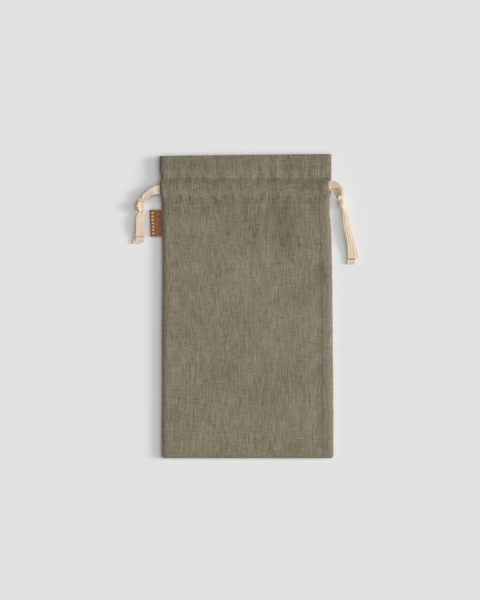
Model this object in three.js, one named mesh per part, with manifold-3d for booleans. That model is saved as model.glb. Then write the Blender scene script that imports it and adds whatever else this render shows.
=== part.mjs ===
import * as THREE from "three";
import Module from "manifold-3d";
import { mergeVertices } from "three/addons/utils/BufferGeometryUtils.js";

// A linen drawstring pouch lying flat and empty, its front up and its mouth towards +Y.
// Millimetres, +Z up. The origin is the middle of the flat underside.

// Cloth, tape and label
const CLOTH = 1.0;
const HEM = 0.8;
const TAPE_WIDTH = 9.9;
const TAPE = 0.8;
const TAPE_SAG = 0.15;
const CLEAR = 0.3;
const LABEL_HEIGHT = 30.6;
const LABEL_REACH = 13.6;
const LABEL_CLOTH = 0.8;
const LABEL_AIR = 0.4;
const LABEL_DROOP = 1.3;
const LABEL_LEAN = 2.5;
const LABEL_STEPS = [0, 0.3, 0.6, 0.85];

// Along the pouch, from the bottom seam to the mouth
const BOTTOM = -174.5;
const MOUTH = 174.1;
// How much lower the left end of the mouth stands than its right end, and how its edge bends
const MOUTH_SLOPE = { drop: 2.1, bend: 1.5 };
const CORNER_RADIUS = 3;
const LOWER_STITCHES = 123.1;
const UPPER_STITCHES = 146.6;
const STITCH_GROOVE = 1.4;
const LABEL_MIDDLE = 95.1;

// Heights: the seams, and the inner face of the front away from its edges
const TUNNEL = TAPE + 2 * CLEAR;
const CASING_WALL = CLOTH + TUNNEL + HEM;
const HEADING_WALL = 2 * CLOTH;
const BACK_SEAM = CASING_WALL;
const FRONT_SEAM = BACK_SEAM + CLEAR;
const BODY_INNER = 6.4;
const MOUTH_INNER = 7.8;
const EDGE_ROUNDING = 6;

// The tunnel of each casing, and the slit where its inner hem stops short of the side seam
const TUNNEL_LOW = LOWER_STITCHES + STITCH_GROOVE;
const TUNNEL_HIGH = UPPER_STITCHES - STITCH_GROOVE;
const SLIT_DEPTH = 4.6;
const PAST_EDGE = 3;

// How much thicker the back's cloth stands where it turns up to a seam
const SEAM_THICKENING = 1.3;

// How far the first and last rows of the casing lie from its tunnel and a slit reaches into it, and
// how far a cut reaches past the cloth
const ROW_MARGIN = 0.05;
const CUT_PAST = 1;

// The left and right edges of the pouch, from the bottom to the mouth
const SIDES = [
  { y: BOTTOM, left: -98.0, right: 99.0 },
  { y: -142.0, left: -98.0, right: 99.0 },
  { y: -108.0, left: -97.6, right: 98.9 },
  { y: -28.0, left: -97.6, right: 98.1 },
  { y: 27.0, left: -97.2, right: 97.7 },
  { y: 73.0, left: -97.3, right: 96.8 },
  { y: 116.0, left: -98.0, right: 94.5 },
  { y: LOWER_STITCHES, left: -98.8, right: 94.2 },
  { y: 131.8, left: -100.0, right: 96.4 },
  { y: 133.4, left: -100.1, right: 93.6 },
  { y: 142.8, left: -100.1, right: 93.6 },
  { y: 144.4, left: -99.4, right: 96.5 },
  { y: UPPER_STITCHES, left: -99.0, right: 96.6 },
  { y: 156.0, left: -100.6, right: 96.6 },
  { y: MOUTH, left: -100.4, right: 96.6 },
];

// The wall of each panel along the pouch, the inner face of the front, and how high its gathers stand
const WALLS = [
  { y: BOTTOM, inner: BODY_INNER, wall: CLOTH, gather: 0 },
  { y: 92, inner: BODY_INNER, wall: CLOTH, gather: 0 },
  { y: 117.4, inner: MOUTH_INNER, wall: CLOTH, gather: 0.6 },
  { y: 119.4, inner: MOUTH_INNER, wall: HEADING_WALL, gather: 0.6 },
  { y: LOWER_STITCHES, inner: MOUTH_INNER, wall: HEADING_WALL, gather: 0.6 },
  { y: TUNNEL_LOW, inner: MOUTH_INNER, wall: CASING_WALL, gather: 0.15 },
  { y: TUNNEL_HIGH, inner: MOUTH_INNER, wall: CASING_WALL, gather: 0.15 },
  { y: UPPER_STITCHES, inner: MOUTH_INNER, wall: HEADING_WALL, gather: 0.7 },
  { y: 152, inner: MOUTH_INNER, wall: HEADING_WALL, gather: 0.8 },
  { y: MOUTH, inner: MOUTH_INNER, wall: HEADING_WALL, gather: 0.2 },
];

// Long soft folds of the front: a line, the half width about it, and the height, below 0 for a trough
const FOLDS = [
  { x0: 26, y0: 132, x1: 31, y1: 48, half: 13, height: -1.8 },
  { x0: 58, y0: 128, x1: 56, y1: 40, half: 12, height: 0.9 },
  { x0: 15, y0: 68, x1: 18, y1: 54, half: 7, height: 0.6 },
  { x0: 80, y0: 60, x1: 80, y1: -160, half: 6, height: -0.6 },
  { x0: -83, y0: 60, x1: -84, y1: -150, half: 5, height: -0.1 },
  { x0: -30, y0: 20, x1: -44, y1: -90, half: 26, height: 0.6 },
  { x0: 34, y0: -40, x1: 40, y1: -130, half: 28, height: 0.6 },
];

// Crests and valleys of the gathered heading in turn, starting with a valley
const GATHERS = [
  -84, -77, -69, -61, -52, -45, -37, -30, -22, -14, -6, 2, 10, 18, 25, 33, 41, 49, 57, 64, 71, 78, 84,
];

// Free parts of the tapes, from the slit to the knot and from the knot to the ends:
// the middle of the tape, its width and thickness, and how far its width is turned from +Y and tilted up
const LEFT_UPPER_LEAD = [
  { x: -103.0, y: 133.2, z: 6.4, width: 10, thick: TAPE, turn: 4, tilt: 0 },
  { x: -108.4, y: 131.3, z: 7.4, width: 9.2, thick: TAPE, turn: 24, tilt: 4 },
  { x: -113.6, y: 128.4, z: 6.8, width: 7.8, thick: TAPE, turn: 44, tilt: 10 },
  { x: -117.8, y: 125.0, z: 6.0, width: 6.4, thick: 1.2, turn: 52, tilt: 8 },
  { x: -121.6, y: 119.4, z: 5.0, width: 5.0, thick: 1.8, turn: 70, tilt: 0 },
];
const LEFT_LOWER_LEAD = [
  { x: -103.6, y: 133.0, z: 1.3, width: 9.6, thick: TAPE, turn: 3, tilt: 0 },
  { x: -109.0, y: 131.0, z: 0.9, width: 9.0, thick: TAPE, turn: 24, tilt: 2 },
  { x: -114.6, y: 127.4, z: 1.1, width: 8.0, thick: TAPE, turn: 42, tilt: 4 },
  { x: -119.0, y: 123.2, z: 2.0, width: 6.4, thick: 1.2, turn: 58, tilt: 4 },
  { x: -122.0, y: 117.4, z: 3.0, width: 5.0, thick: 1.8, turn: 74, tilt: 0 },
];
const LEFT_UPPER_TAIL = [
  { x: -122.8, y: 112.0, z: 4.2, width: 5.0, thick: 2.0, turn: 90, tilt: 0 },
  { x: -122.4, y: 106.4, z: 4.6, width: 6.2, thick: 1.3, turn: 90, tilt: 0 },
  { x: -122.5, y: 99.0, z: 5.2, width: 9.6, thick: TAPE, turn: 90, tilt: 2 },
  { x: -122.7, y: 87.4, z: 4.6, width: 10, thick: TAPE, turn: 90, tilt: 1 },
  { x: -122.6, y: 73.6, z: 1.8, width: 10, thick: TAPE, turn: 90, tilt: 0 },
];
const LEFT_LOWER_TAIL = [
  { x: -122.8, y: 112.0, z: 3.0, width: 5.0, thick: 2.0, turn: 90, tilt: 0 },
  { x: -122.7, y: 106.4, z: 3.2, width: 6.0, thick: 1.2, turn: 92, tilt: 0 },
  { x: -123.7, y: 97.0, z: 3.6, width: 9.4, thick: TAPE, turn: 98, tilt: 0 },
  { x: -125.2, y: 85.2, z: 2.8, width: 10, thick: TAPE, turn: 98, tilt: 0 },
  { x: -126.4, y: 73.4, z: 0.5, width: 10, thick: TAPE, turn: 94, tilt: 0 },
];
const RIGHT_UPPER_LEAD = [
  { x: 99.0, y: 138.5, z: 4.8, width: 9.6, thick: TAPE, turn: -4, tilt: 6 },
  { x: 104.2, y: 136.8, z: 4.4, width: 8.8, thick: TAPE, turn: -28, tilt: 34 },
  { x: 107.9, y: 133.0, z: 4.9, width: 8.2, thick: TAPE, turn: -64, tilt: 58 },
  { x: 108.9, y: 127.6, z: 5.0, width: 7.4, thick: TAPE, turn: -86, tilt: 50 },
  { x: 108.6, y: 121.0, z: 4.6, width: 5.0, thick: 1.8, turn: -88, tilt: 10 },
];
const RIGHT_LOWER_LEAD = [
  { x: 98.2, y: 135.8, z: 1.4, width: 9.2, thick: TAPE, turn: -14, tilt: 0 },
  { x: 102.4, y: 131.6, z: 1.4, width: 8.4, thick: TAPE, turn: -44, tilt: 0 },
  { x: 105.6, y: 126.8, z: 2.2, width: 6.8, thick: 1.0, turn: -52, tilt: 0 },
  { x: 107.8, y: 120.8, z: 3.6, width: 5.0, thick: 1.8, turn: -66, tilt: 0 },
];
const RIGHT_UPPER_TAIL = [
  { x: 108.8, y: 116.0, z: 4.0, width: 4.6, thick: 2.0, turn: -76, tilt: 0 },
  { x: 110.5, y: 111.6, z: 4.3, width: 5.0, thick: 1.4, turn: -72, tilt: 0 },
  { x: 112.3, y: 103.0, z: 5.0, width: 7.6, thick: TAPE, turn: -76, tilt: 0 },
  { x: 114.6, y: 92.4, z: 5.6, width: 9.0, thick: TAPE, turn: -74, tilt: -2 },
  { x: 118.6, y: 74.8, z: 4.8, width: 9.4, thick: TAPE, turn: -80, tilt: -1 },
  { x: 119.6, y: 49.0, z: 1.6, width: 9.0, thick: TAPE, turn: -92, tilt: 0 },
];
const RIGHT_LOWER_TAIL = [
  { x: 108.8, y: 116.0, z: 3.0, width: 4.6, thick: 2.0, turn: -76, tilt: 0 },
  { x: 110.7, y: 111.6, z: 3.1, width: 5.0, thick: 1.4, turn: -72, tilt: 0 },
  { x: 112.9, y: 103.0, z: 3.6, width: 7.6, thick: TAPE, turn: -74, tilt: 0 },
  { x: 115.8, y: 90.4, z: 4.0, width: 9.4, thick: TAPE, turn: -73, tilt: 0 },
  { x: 119.7, y: 74.8, z: 3.0, width: 10, thick: TAPE, turn: -76, tilt: 0 },
  { x: 123.0, y: 56.4, z: 0.5, width: 10, thick: TAPE, turn: -80, tilt: 0 },
];

// Where each tape turns back at the far slit, and how wide it is there
const LEFT_TAPE = { side: -1, lane: 129.7, exit: 133.4, turnBack: 128.8, turnWidth: 5.4 };
const RIGHT_TAPE = { side: 1, lane: 140.0, exit: 138.3, turnBack: 141.8, turnWidth: 5.8 };

// Rows of a tape inside the casing: distances from its own slit, the reach of its straight lane either
// side of the middle, distances from the far slit, and the bend there with its share of the climb
const FROM_OWN_SLIT = [0.6, 2.6, 5.4, 9, 16];
const LANE_REACH = 74;
const FROM_FAR_SLIT = [16, 9, 6, 4.2];
const BEND_TOP = 2.5;
const BEND = [
  { distance: 2.3, climb: 0.94 },
  { distance: 1.4, climb: 0.62 },
  { distance: 1.4, climb: 0.32 },
  { distance: 2.3, climb: 0.03 },
];

// Each knot: its middle, length, width and height, how far it is turned, and its wrapping band
const LEFT_KNOT = { x: -122.8, y: 114.2, z: 4.2, length: 15, width: 9.6, height: 8.2, turn: 12, band: -38 };
const RIGHT_KNOT = { x: 108.3, y: 117.6, z: 4.1, length: 12.5, width: 8.4, height: 8.0, turn: -20, band: 40 };

// The forms of every knot: how far its lower end is drawn in, and its band against its own size
const DRAWN_IN = 0.72;
const BAND_THICKNESS = 0.17;
const BAND_SIZE = { width: 0.74, length: 0.62, height: 0.72, up: 0.04 };

// The section of a tape: places across its width, with its share of the thickness there
const SECTION = [
  { across: -0.5, thick: 0.45 },
  { across: -0.36, thick: 1 },
  { across: 0.36, thick: 1 },
  { across: 0.5, thick: 0.45 },
];

// Numbers and tables

function clamp(value, low, high) {
  return Math.min(Math.max(value, low), high);
}

function mix(a, b, t) {
  return a + (b - a) * t;
}

function smooth(t) {
  const c = clamp(t, 0, 1);
  return c * c * (3 - 2 * c);
}

// One column of a table at y, eased from row to row
function lookUp(table, column, y) {
  const last = table.length - 1;
  if (y <= table[0].y) return table[0][column];
  if (y >= table[last].y) return table[last][column];
  const next = table.findIndex((row) => row.y > y);
  const low = table[next - 1];
  const high = table[next];
  return mix(low[column], high[column], smooth((y - low.y) / (high.y - low.y)));
}

// The outline of the pouch

function cornerInset(y) {
  const below = CORNER_RADIUS - clamp(y - BOTTOM, 0, CORNER_RADIUS);
  return CORNER_RADIUS - Math.sqrt(CORNER_RADIUS ** 2 - below ** 2);
}

function leftEdge(y) {
  return lookUp(SIDES, "left", y) + cornerInset(y);
}

function rightEdge(y) {
  return lookUp(SIDES, "right", y) - cornerInset(y);
}

// How far the cloth is drawn down because the mouth slopes, from none at the upper stitches
function mouthDrop(x, y) {
  const fromRight = (rightEdge(MOUTH) - x) / (rightEdge(MOUTH) - leftEdge(MOUTH));
  const share = smooth((y - UPPER_STITCHES) / (MOUTH - UPPER_STITCHES));
  return MOUTH_SLOPE.drop * clamp(fromRight, 0, 1) ** MOUTH_SLOPE.bend * share;
}

// How far the cloth has risen from the seams: 0 at a seam, 1 away from it
function risenFrom(distance) {
  return Math.sin((Math.PI / 2) * clamp(distance / EDGE_ROUNDING, 0, 1));
}

function sideDistance(x, y) {
  return Math.min(x - leftEdge(y), rightEdge(y) - x);
}

function risen(x, y) {
  return risenFrom(sideDistance(x, y)) * risenFrom(y - BOTTOM);
}

// The steeper the cloth stands at a seam, the more of its thickness lies upright
function uprightShare(x, y, climb) {
  const steepest = (climb * Math.PI) / 2 / EDGE_ROUNDING;
  const across = Math.cos((Math.PI / 2) * clamp(sideDistance(x, y) / EDGE_ROUNDING, 0, 1));
  const along = Math.cos((Math.PI / 2) * clamp((y - BOTTOM) / EDGE_ROUNDING, 0, 1));
  return Math.hypot(1, steepest * across * risenFrom(y - BOTTOM), steepest * along);
}

// Folds and gathers of the front

function foldHeight(x, y) {
  let height = 0;
  for (const fold of FOLDS) {
    const dx = fold.x1 - fold.x0;
    const dy = fold.y1 - fold.y0;
    const t = clamp(((x - fold.x0) * dx + (y - fold.y0) * dy) / (dx * dx + dy * dy), 0, 1);
    const away = Math.hypot(x - fold.x0 - t * dx, y - fold.y0 - t * dy);
    height += fold.height * Math.exp(-((away / fold.half) ** 2));
  }
  const stiffness = smooth((y - TUNNEL_LOW + 14) / 28);
  return height * mix(1, 0.3, stiffness);
}

function gatherHeight(x, y) {
  const last = GATHERS.length - 1;
  if (x <= GATHERS[0] || x >= GATHERS[last]) return 0;
  const next = GATHERS.findIndex((place) => place > x);
  const t = smooth((x - GATHERS[next - 1]) / (GATHERS[next] - GATHERS[next - 1]));
  const crest = next % 2 === 1 ? t : 1 - t;
  return crest * lookUp(WALLS, "gather", y);
}

// The faces of the two panels

function frontInner(x, y) {
  const climb = lookUp(WALLS, "inner", y) - FRONT_SEAM;
  const up = risen(x, y);
  return FRONT_SEAM + climb * up + (foldHeight(x, y) + gatherHeight(x, y)) * smooth(up);
}

function frontShare(x, y) {
  return uprightShare(x, y, lookUp(WALLS, "inner", y) - FRONT_SEAM);
}

function frontOuter(x, y) {
  return frontInner(x, y) + lookUp(WALLS, "wall", y) * frontShare(x, y);
}

function backWall(x, y) {
  const wall = lookUp(WALLS, "wall", y);
  return mix(Math.min(wall * SEAM_THICKENING, BACK_SEAM), wall, risen(x, y));
}

function backOuter(x, y) {
  const seamWall = Math.min(lookUp(WALLS, "wall", y) * SEAM_THICKENING, BACK_SEAM);
  return (BACK_SEAM - seamWall) * (1 - risen(x, y));
}

function backInner(x, y) {
  return backOuter(x, y) + backWall(x, y);
}

// Solids

const wasm = await Module();
wasm.setup();

function solidFrom(geometry) {
  geometry.deleteAttribute("normal");
  geometry.deleteAttribute("uv");
  const merged = mergeVertices(geometry, 1e-4);
  return new wasm.Manifold(
    new wasm.Mesh({
      numProp: 3,
      vertProperties: new Float32Array(merged.attributes.position.array),
      triVerts: new Uint32Array(merged.index.array),
    }),
  );
}

function geometryFrom(solid) {
  const { vertProperties, triVerts } = solid.getMesh();
  const geometry = new THREE.BufferGeometry();
  geometry.setAttribute("position", new THREE.BufferAttribute(new Float32Array(vertProperties), 3));
  geometry.setIndex(new THREE.BufferAttribute(new Uint32Array(triVerts), 1));
  return geometry;
}

// A box whose points are each carried to a new place: i and j count its columns and rows,
// and k is 0 on its lower face and 1 on its upper face
function bentBox(columns, rows, place) {
  const box = new THREE.BoxGeometry(columns, rows, 1, columns, rows, 1);
  const points = box.attributes.position;
  for (let n = 0; n < points.count; n += 1) {
    const i = Math.round(points.getX(n) + columns / 2);
    const j = Math.round(points.getY(n) + rows / 2);
    const k = Math.round(points.getZ(n) + 0.5);
    points.setXYZ(n, ...place(i, j, k));
  }
  return solidFrom(box);
}

// Columns near the sides follow the edges, and those between them fall on the given places
function columnAt(i, y, nearEdge, between) {
  const fromRight = nearEdge.length * 2 + between.length - 1 - i;
  if (i < nearEdge.length) return leftEdge(y) + nearEdge[i];
  if (fromRight < nearEdge.length) return rightEdge(y) - nearEdge[fromRight];
  return between[i - nearEdge.length];
}

function panel(rows, nearEdge, between, lower, upper) {
  const columns = nearEdge.length * 2 + between.length - 1;
  return bentBox(columns, rows.length - 1, (i, j, k) => {
    const y = rows[j];
    const x = columnAt(i, y, nearEdge, between);
    return [x, y - mouthDrop(x, y), k === 0 ? lower(x, y) : upper(x, y)];
  });
}

const TUNNEL_ROWS = [TUNNEL_LOW, 128, 132.6, 134.9, 139, 143, TUNNEL_HIGH];
const TUNNEL_EDGE = [-PAST_EDGE, 0, 1.2, 2.6, SLIT_DEPTH, 7.4, 11];

// The tunnel for the tapes: right across the pouch, between two heights of the wall
function tunnel(between, low, high) {
  return panel(TUNNEL_ROWS, TUNNEL_EDGE, between, low, high);
}

// The slit at one side, where the inner hem is cut back so that a tape can turn round its end
function slit(side, low, high) {
  const reach = TUNNEL_EDGE.filter((distance) => distance <= SLIT_DEPTH);
  const last = reach.length - 1;
  return bentBox(last, TUNNEL_ROWS.length - 1, (i, j, k) => {
    const y = TUNNEL_ROWS[j];
    const x = side < 0 ? leftEdge(y) + reach[i] : rightEdge(y) - reach[last - i];
    return [x, y, k === 0 ? low(x, y) : high(x, y)];
  });
}

// Tapes

const COLUMNS = ["x", "y", "z", "width", "thick", "turn", "tilt"];

// Rows between the given ones, on a smooth curve through every column
function eased(rows, steps) {
  const curve = (pick) => new THREE.CatmullRomCurve3(rows.map((row) => new THREE.Vector3(...pick(row))));
  const places = curve((row) => [row.x, row.y, row.z]);
  const sizes = curve((row) => [row.width, row.thick, 0]);
  const angles = curve((row) => [row.turn, row.tilt, 0]);
  return Array.from({ length: steps + 1 }, (_, n) => {
    const place = places.getPoint(n / steps);
    const size = sizes.getPoint(n / steps);
    const angle = angles.getPoint(n / steps);
    const values = [place.x, place.y, place.z, size.x, size.y, angle.x, angle.y];
    return Object.fromEntries(COLUMNS.map((column, c) => [column, values[c]]));
  });
}

// A flat band through the rows, with a section of eight sides
function ribbon(rows) {
  const centres = rows.map((row) => new THREE.Vector3(row.x, row.y, row.z));
  return bentBox(rows.length - 1, SECTION.length - 1, (i, j, k) => {
    const row = rows[i];
    const before = centres[Math.max(i - 1, 0)];
    const after = centres[Math.min(i + 1, rows.length - 1)];
    const along = after.clone().sub(before).normalize();
    const turn = THREE.MathUtils.degToRad(row.turn);
    const tilt = THREE.MathUtils.degToRad(row.tilt);
    const level = Math.cos(tilt);
    const widthways = new THREE.Vector3(-Math.sin(turn) * level, Math.cos(turn) * level, Math.sin(tilt));
    const up = along.clone().cross(widthways).normalize();
    const place = centres[i].clone();
    place.addScaledVector(widthways, SECTION[j].across * row.width);
    place.addScaledVector(up, (k - 0.5) * row.thick * SECTION[j].thick);
    return place.toArray();
  });
}

// The middle height of the front tunnel
function frontTunnelMiddle(x, y) {
  return frontInner(x, y) + (HEM + TUNNEL / 2) * frontShare(x, y);
}

const BACK_TUNNEL_MIDDLE = CLOTH + TUNNEL / 2;

// One tape inside both casings: in at its own slit, along the front, round the hem ends at the
// far slit and home along the back
function insideRows(tape) {
  const home = tape.side < 0 ? leftEdge(tape.exit) : rightEdge(tape.exit);
  const far = tape.side < 0 ? rightEdge(tape.turnBack) : leftEdge(tape.turnBack);
  const inward = -tape.side;
  const flat = (x, y, z, width) => ({ x, y, z, width, thick: TAPE, turn: 0, tilt: 0 });
  const front = [];
  const back = [];
  for (const distance of FROM_OWN_SLIT) {
    const x = home + inward * distance;
    const y = mix(tape.exit, tape.lane, smooth(distance / FROM_OWN_SLIT.at(-1)));
    front.push(flat(x, y, frontTunnelMiddle(x, y), TAPE_WIDTH));
    back.unshift(flat(x, y, BACK_TUNNEL_MIDDLE, TAPE_WIDTH));
  }
  const places = GATHERS.filter((place, n) => n % 2 === 0 && Math.abs(place) < LANE_REACH);
  if (tape.side > 0) places.reverse();
  for (const x of places) {
    front.push(flat(x, tape.lane, frontTunnelMiddle(x, tape.lane), TAPE_WIDTH));
    back.unshift(flat(x, tape.lane, BACK_TUNNEL_MIDDLE, TAPE_WIDTH));
  }
  for (const distance of FROM_FAR_SLIT) {
    const x = far - inward * distance;
    const t = smooth((FROM_FAR_SLIT[0] - distance) / (FROM_FAR_SLIT[0] - FROM_FAR_SLIT.at(-1)));
    const y = mix(tape.lane, tape.turnBack, t);
    const width = mix(TAPE_WIDTH, tape.turnWidth, t);
    front.push(flat(x, y, frontTunnelMiddle(x, y) - TAPE_SAG * t, width));
    back.unshift(flat(x, y, BACK_TUNNEL_MIDDLE, width));
  }
  const high = frontTunnelMiddle(far - inward * BEND_TOP, tape.turnBack);
  const bend = BEND.map(({ distance, climb }) => {
    const z = mix(BACK_TUNNEL_MIDDLE, high, climb);
    return flat(far - inward * distance, tape.turnBack, z, tape.turnWidth);
  });
  return [...front, ...bend, ...back];
}

// A knot: a lump drawn in at its lower end, with the band that wraps it
function knot(shape) {
  const turn = THREE.MathUtils.degToRad(shape.turn);
  const lump = new THREE.SphereGeometry(0.5, 14, 10);
  const points = lump.attributes.position;
  for (let n = 0; n < points.count; n += 1) {
    const along = points.getY(n);
    const drawnIn = mix(1, DRAWN_IN, smooth(0.5 - along));
    points.setXYZ(
      n,
      points.getX(n) * shape.width * drawnIn,
      along * shape.length,
      points.getZ(n) * shape.height * drawnIn,
    );
  }
  lump.rotateZ(turn);
  lump.translate(shape.x, shape.y, shape.z);
  const band = new THREE.TorusGeometry(0.5, BAND_THICKNESS, 6, 16);
  band.rotateX(Math.PI / 2);
  band.scale(shape.width * BAND_SIZE.width, shape.length * BAND_SIZE.length, shape.height * BAND_SIZE.height);
  band.rotateZ(THREE.MathUtils.degToRad(shape.band));
  band.translate(shape.x, shape.y + shape.length * BAND_SIZE.up, shape.z);
  return solidFrom(lump).add(solidFrom(band));
}

function drawstring(tape, upperLead, lowerLead, upperTail, lowerTail, knotShape) {
  const out = eased([...upperLead].reverse(), upperLead.length * 2 - 2);
  const home = eased(lowerLead, lowerLead.length * 2 - 2);
  return ribbon([...out, ...insideRows(tape), ...home])
    .add(ribbon(eased(upperTail, upperTail.length * 2 - 2)))
    .add(ribbon(eased(lowerTail, lowerTail.length * 2 - 2)))
    .add(knot(knotShape));
}

// The label: a strip folded double, its fold away from the seam and its cut ends beside it
function sideLabel() {
  const leanOut = (LABEL_HEIGHT / 2) * Math.sin(THREE.MathUtils.degToRad(LABEL_LEAN));
  const root = leftEdge(LABEL_MIDDLE) - CLEAR - leanOut;
  const tip = root - LABEL_REACH + leanOut;
  const bend = LABEL_CLOTH + LABEL_AIR / 2;
  const layer = (LABEL_CLOTH + LABEL_AIR) / 2;
  const seam = (BACK_SEAM + FRONT_SEAM) / 2;
  const middle = (t) => seam - LABEL_DROOP * smooth(t);
  const cut = { y: LABEL_MIDDLE, width: LABEL_HEIGHT, thick: LABEL_CLOTH, turn: LABEL_LEAN, tilt: 0 };
  const strip = (x, z) => ({ ...cut, x, z });
  const over = LABEL_STEPS.map((t) => strip(mix(root, tip + bend, t), middle(t) + layer));
  const under = LABEL_STEPS.map((t) => strip(mix(root, tip + bend, t), middle(t) - layer)).reverse();
  const fold = [
    strip(tip + LABEL_CLOTH * 0.9, middle(1) + layer * 0.8),
    strip(tip + LABEL_CLOTH * 0.5, middle(1)),
    strip(tip + LABEL_CLOTH * 0.9, middle(1) - layer * 0.8),
  ];
  return ribbon([...over, ...fold, ...under]);
}

// The panels, cut by their tunnels and slits

const NEAR_EDGE = [0, 0.7, 1.7, 3, 4.5, 6.4];
const CASING_ROWS = [
  113, 117.4, 119.4, LOWER_STITCHES, TUNNEL_LOW - ROW_MARGIN, 128, 131.8, 133.4, 138, 142.8, 144.4,
  TUNNEL_HIGH + ROW_MARGIN, UPPER_STITCHES,
];
const FRONT_ROWS = [
  BOTTOM, -174.1, -173.3, -172.0, -170.4, -168.2, -160, -146, -128, -108, -86, -64, -42, -20, 2, 22, 40,
  54, 68, 82, 94, 105, ...CASING_ROWS, 149, 152, 157, 163, 169, MOUTH,
];
const BACK_ROWS = [
  BOTTOM, -173.6, -172.0, -169.0, -160, -120, -80, -40, 0, 40, 80, 105, ...CASING_ROWS, 156, 165, MOUTH,
];
const BACK_PLACES = GATHERS.filter((place, n) => n % 3 === 0);

function frontPanel() {
  const floor = (x, y) => frontInner(x, y) + HEM * frontShare(x, y);
  const roof = (x, y) => floor(x, y) + TUNNEL * frontShare(x, y);
  const below = () => 0;
  const intoTunnel = (x, y) => floor(x, y) + ROW_MARGIN;
  return panel(FRONT_ROWS, NEAR_EDGE, GATHERS, frontInner, frontOuter)
    .subtract(tunnel(GATHERS, floor, roof))
    .subtract(slit(-1, below, intoTunnel))
    .subtract(slit(1, below, intoTunnel));
}

function backPanel() {
  const floor = () => CLOTH;
  const roof = () => CLOTH + TUNNEL;
  const above = () => CASING_WALL + CUT_PAST;
  const intoTunnel = () => CLOTH + TUNNEL - ROW_MARGIN;
  return panel(BACK_ROWS, NEAR_EDGE, BACK_PLACES, backOuter, backInner)
    .subtract(tunnel(BACK_PLACES, floor, roof))
    .subtract(slit(-1, intoTunnel, above))
    .subtract(slit(1, intoTunnel, above));
}

// The pouch

const linen = new THREE.MeshStandardMaterial({ color: 0x7f7866, roughness: 0.95, metalness: 0 });
const cotton = new THREE.MeshStandardMaterial({ color: 0xdecab1, roughness: 0.9, metalness: 0 });
const woven = new THREE.MeshStandardMaterial({ color: 0x7f5540, roughness: 0.85, metalness: 0 });

function piece(name, solid, material) {
  const mesh = new THREE.Mesh(geometryFrom(solid), material);
  mesh.name = name;
  return mesh;
}

const leftSolid = drawstring(
  LEFT_TAPE, LEFT_UPPER_LEAD, LEFT_LOWER_LEAD, LEFT_UPPER_TAIL, LEFT_LOWER_TAIL, LEFT_KNOT,
);
const rightSolid = drawstring(
  RIGHT_TAPE, RIGHT_UPPER_LEAD, RIGHT_LOWER_LEAD, RIGHT_UPPER_TAIL, RIGHT_LOWER_TAIL, RIGHT_KNOT,
);

const group = new THREE.Group();
group.add(piece("front_panel", frontPanel(), linen));
group.add(piece("back_panel", backPanel(), linen));
group.add(piece("drawstring_left", leftSolid, cotton));
group.add(piece("drawstring_right", rightSolid, cotton));
group.add(piece("side_label", sideLabel(), woven));
export default group;
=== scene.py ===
"""A linen drawstring pouch lying flat and empty, modelled piece by piece around its frame."""

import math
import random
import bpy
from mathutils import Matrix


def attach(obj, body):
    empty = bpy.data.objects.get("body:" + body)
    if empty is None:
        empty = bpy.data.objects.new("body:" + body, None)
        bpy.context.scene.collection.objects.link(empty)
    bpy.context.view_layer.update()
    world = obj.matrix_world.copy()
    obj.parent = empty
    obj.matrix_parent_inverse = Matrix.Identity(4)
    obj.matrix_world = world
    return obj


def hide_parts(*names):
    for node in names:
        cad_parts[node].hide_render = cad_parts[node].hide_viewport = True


bl_info = {
    "name": "Drawstring pouch",
    "version": (1, 0, 0),
    "blender": (4, 5, 0),
    "location": "View3D > Sidebar > Pouch",
    "description": "Models a linen drawstring pouch with knotted cotton tapes and a side label",
    "category": "Add Mesh",
}

import bmesh
import bpy
from bpy.props import FloatProperty, FloatVectorProperty, PointerProperty
from mathutils import Vector, noise

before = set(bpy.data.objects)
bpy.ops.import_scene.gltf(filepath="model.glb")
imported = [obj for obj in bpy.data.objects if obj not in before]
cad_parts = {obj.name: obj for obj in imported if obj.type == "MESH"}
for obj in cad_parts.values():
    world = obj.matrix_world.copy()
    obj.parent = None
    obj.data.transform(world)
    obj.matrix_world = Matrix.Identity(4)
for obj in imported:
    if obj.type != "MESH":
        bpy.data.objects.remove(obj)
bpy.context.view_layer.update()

# Every table and place below is in millimetres, in the frame's axes, and MM makes it metres
MM = 0.001

# Along the pouch, from the bottom seam to the mouth
BOTTOM = -174.5
MOUTH = 174.1
# How much lower the left end of the mouth stands than its right end, and how its edge bends
MOUTH_DROP = 2.1
MOUTH_BEND = 1.5
CORNER_RADIUS = 3
LOWER_STITCHES = 123.1
UPPER_STITCHES = 146.6
STITCH_GROOVE = 1.4
HEM_END = 119.6
# Where the thread lies: along the pouch in the two casing lines, and across it at the two slits
LOWER_THREAD = 124.4
UPPER_THREAD = 148.1
SLIT_STITCHES = (-93.4, 89.2)

# Walls and heights of the two panels
CLOTH_WALL = 1.0
HEM_WALL = 0.8
TUNNEL = 1.4
CASING_WALL = CLOTH_WALL + TUNNEL + HEM_WALL
HEADING_WALL = 2 * CLOTH_WALL
BACK_SEAM = CASING_WALL
FRONT_SEAM = BACK_SEAM + 0.3
BODY_INNER = 6.4
MOUTH_INNER = 7.8
EDGE_ROUNDING = 6
SEAM_THICKENING = 1.3
TUNNEL_LOW = LOWER_STITCHES + STITCH_GROOVE
TUNNEL_HIGH = UPPER_STITCHES - STITCH_GROOVE
SLIT_DEPTH = 5.0
ALLOWANCE = 12.0

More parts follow.
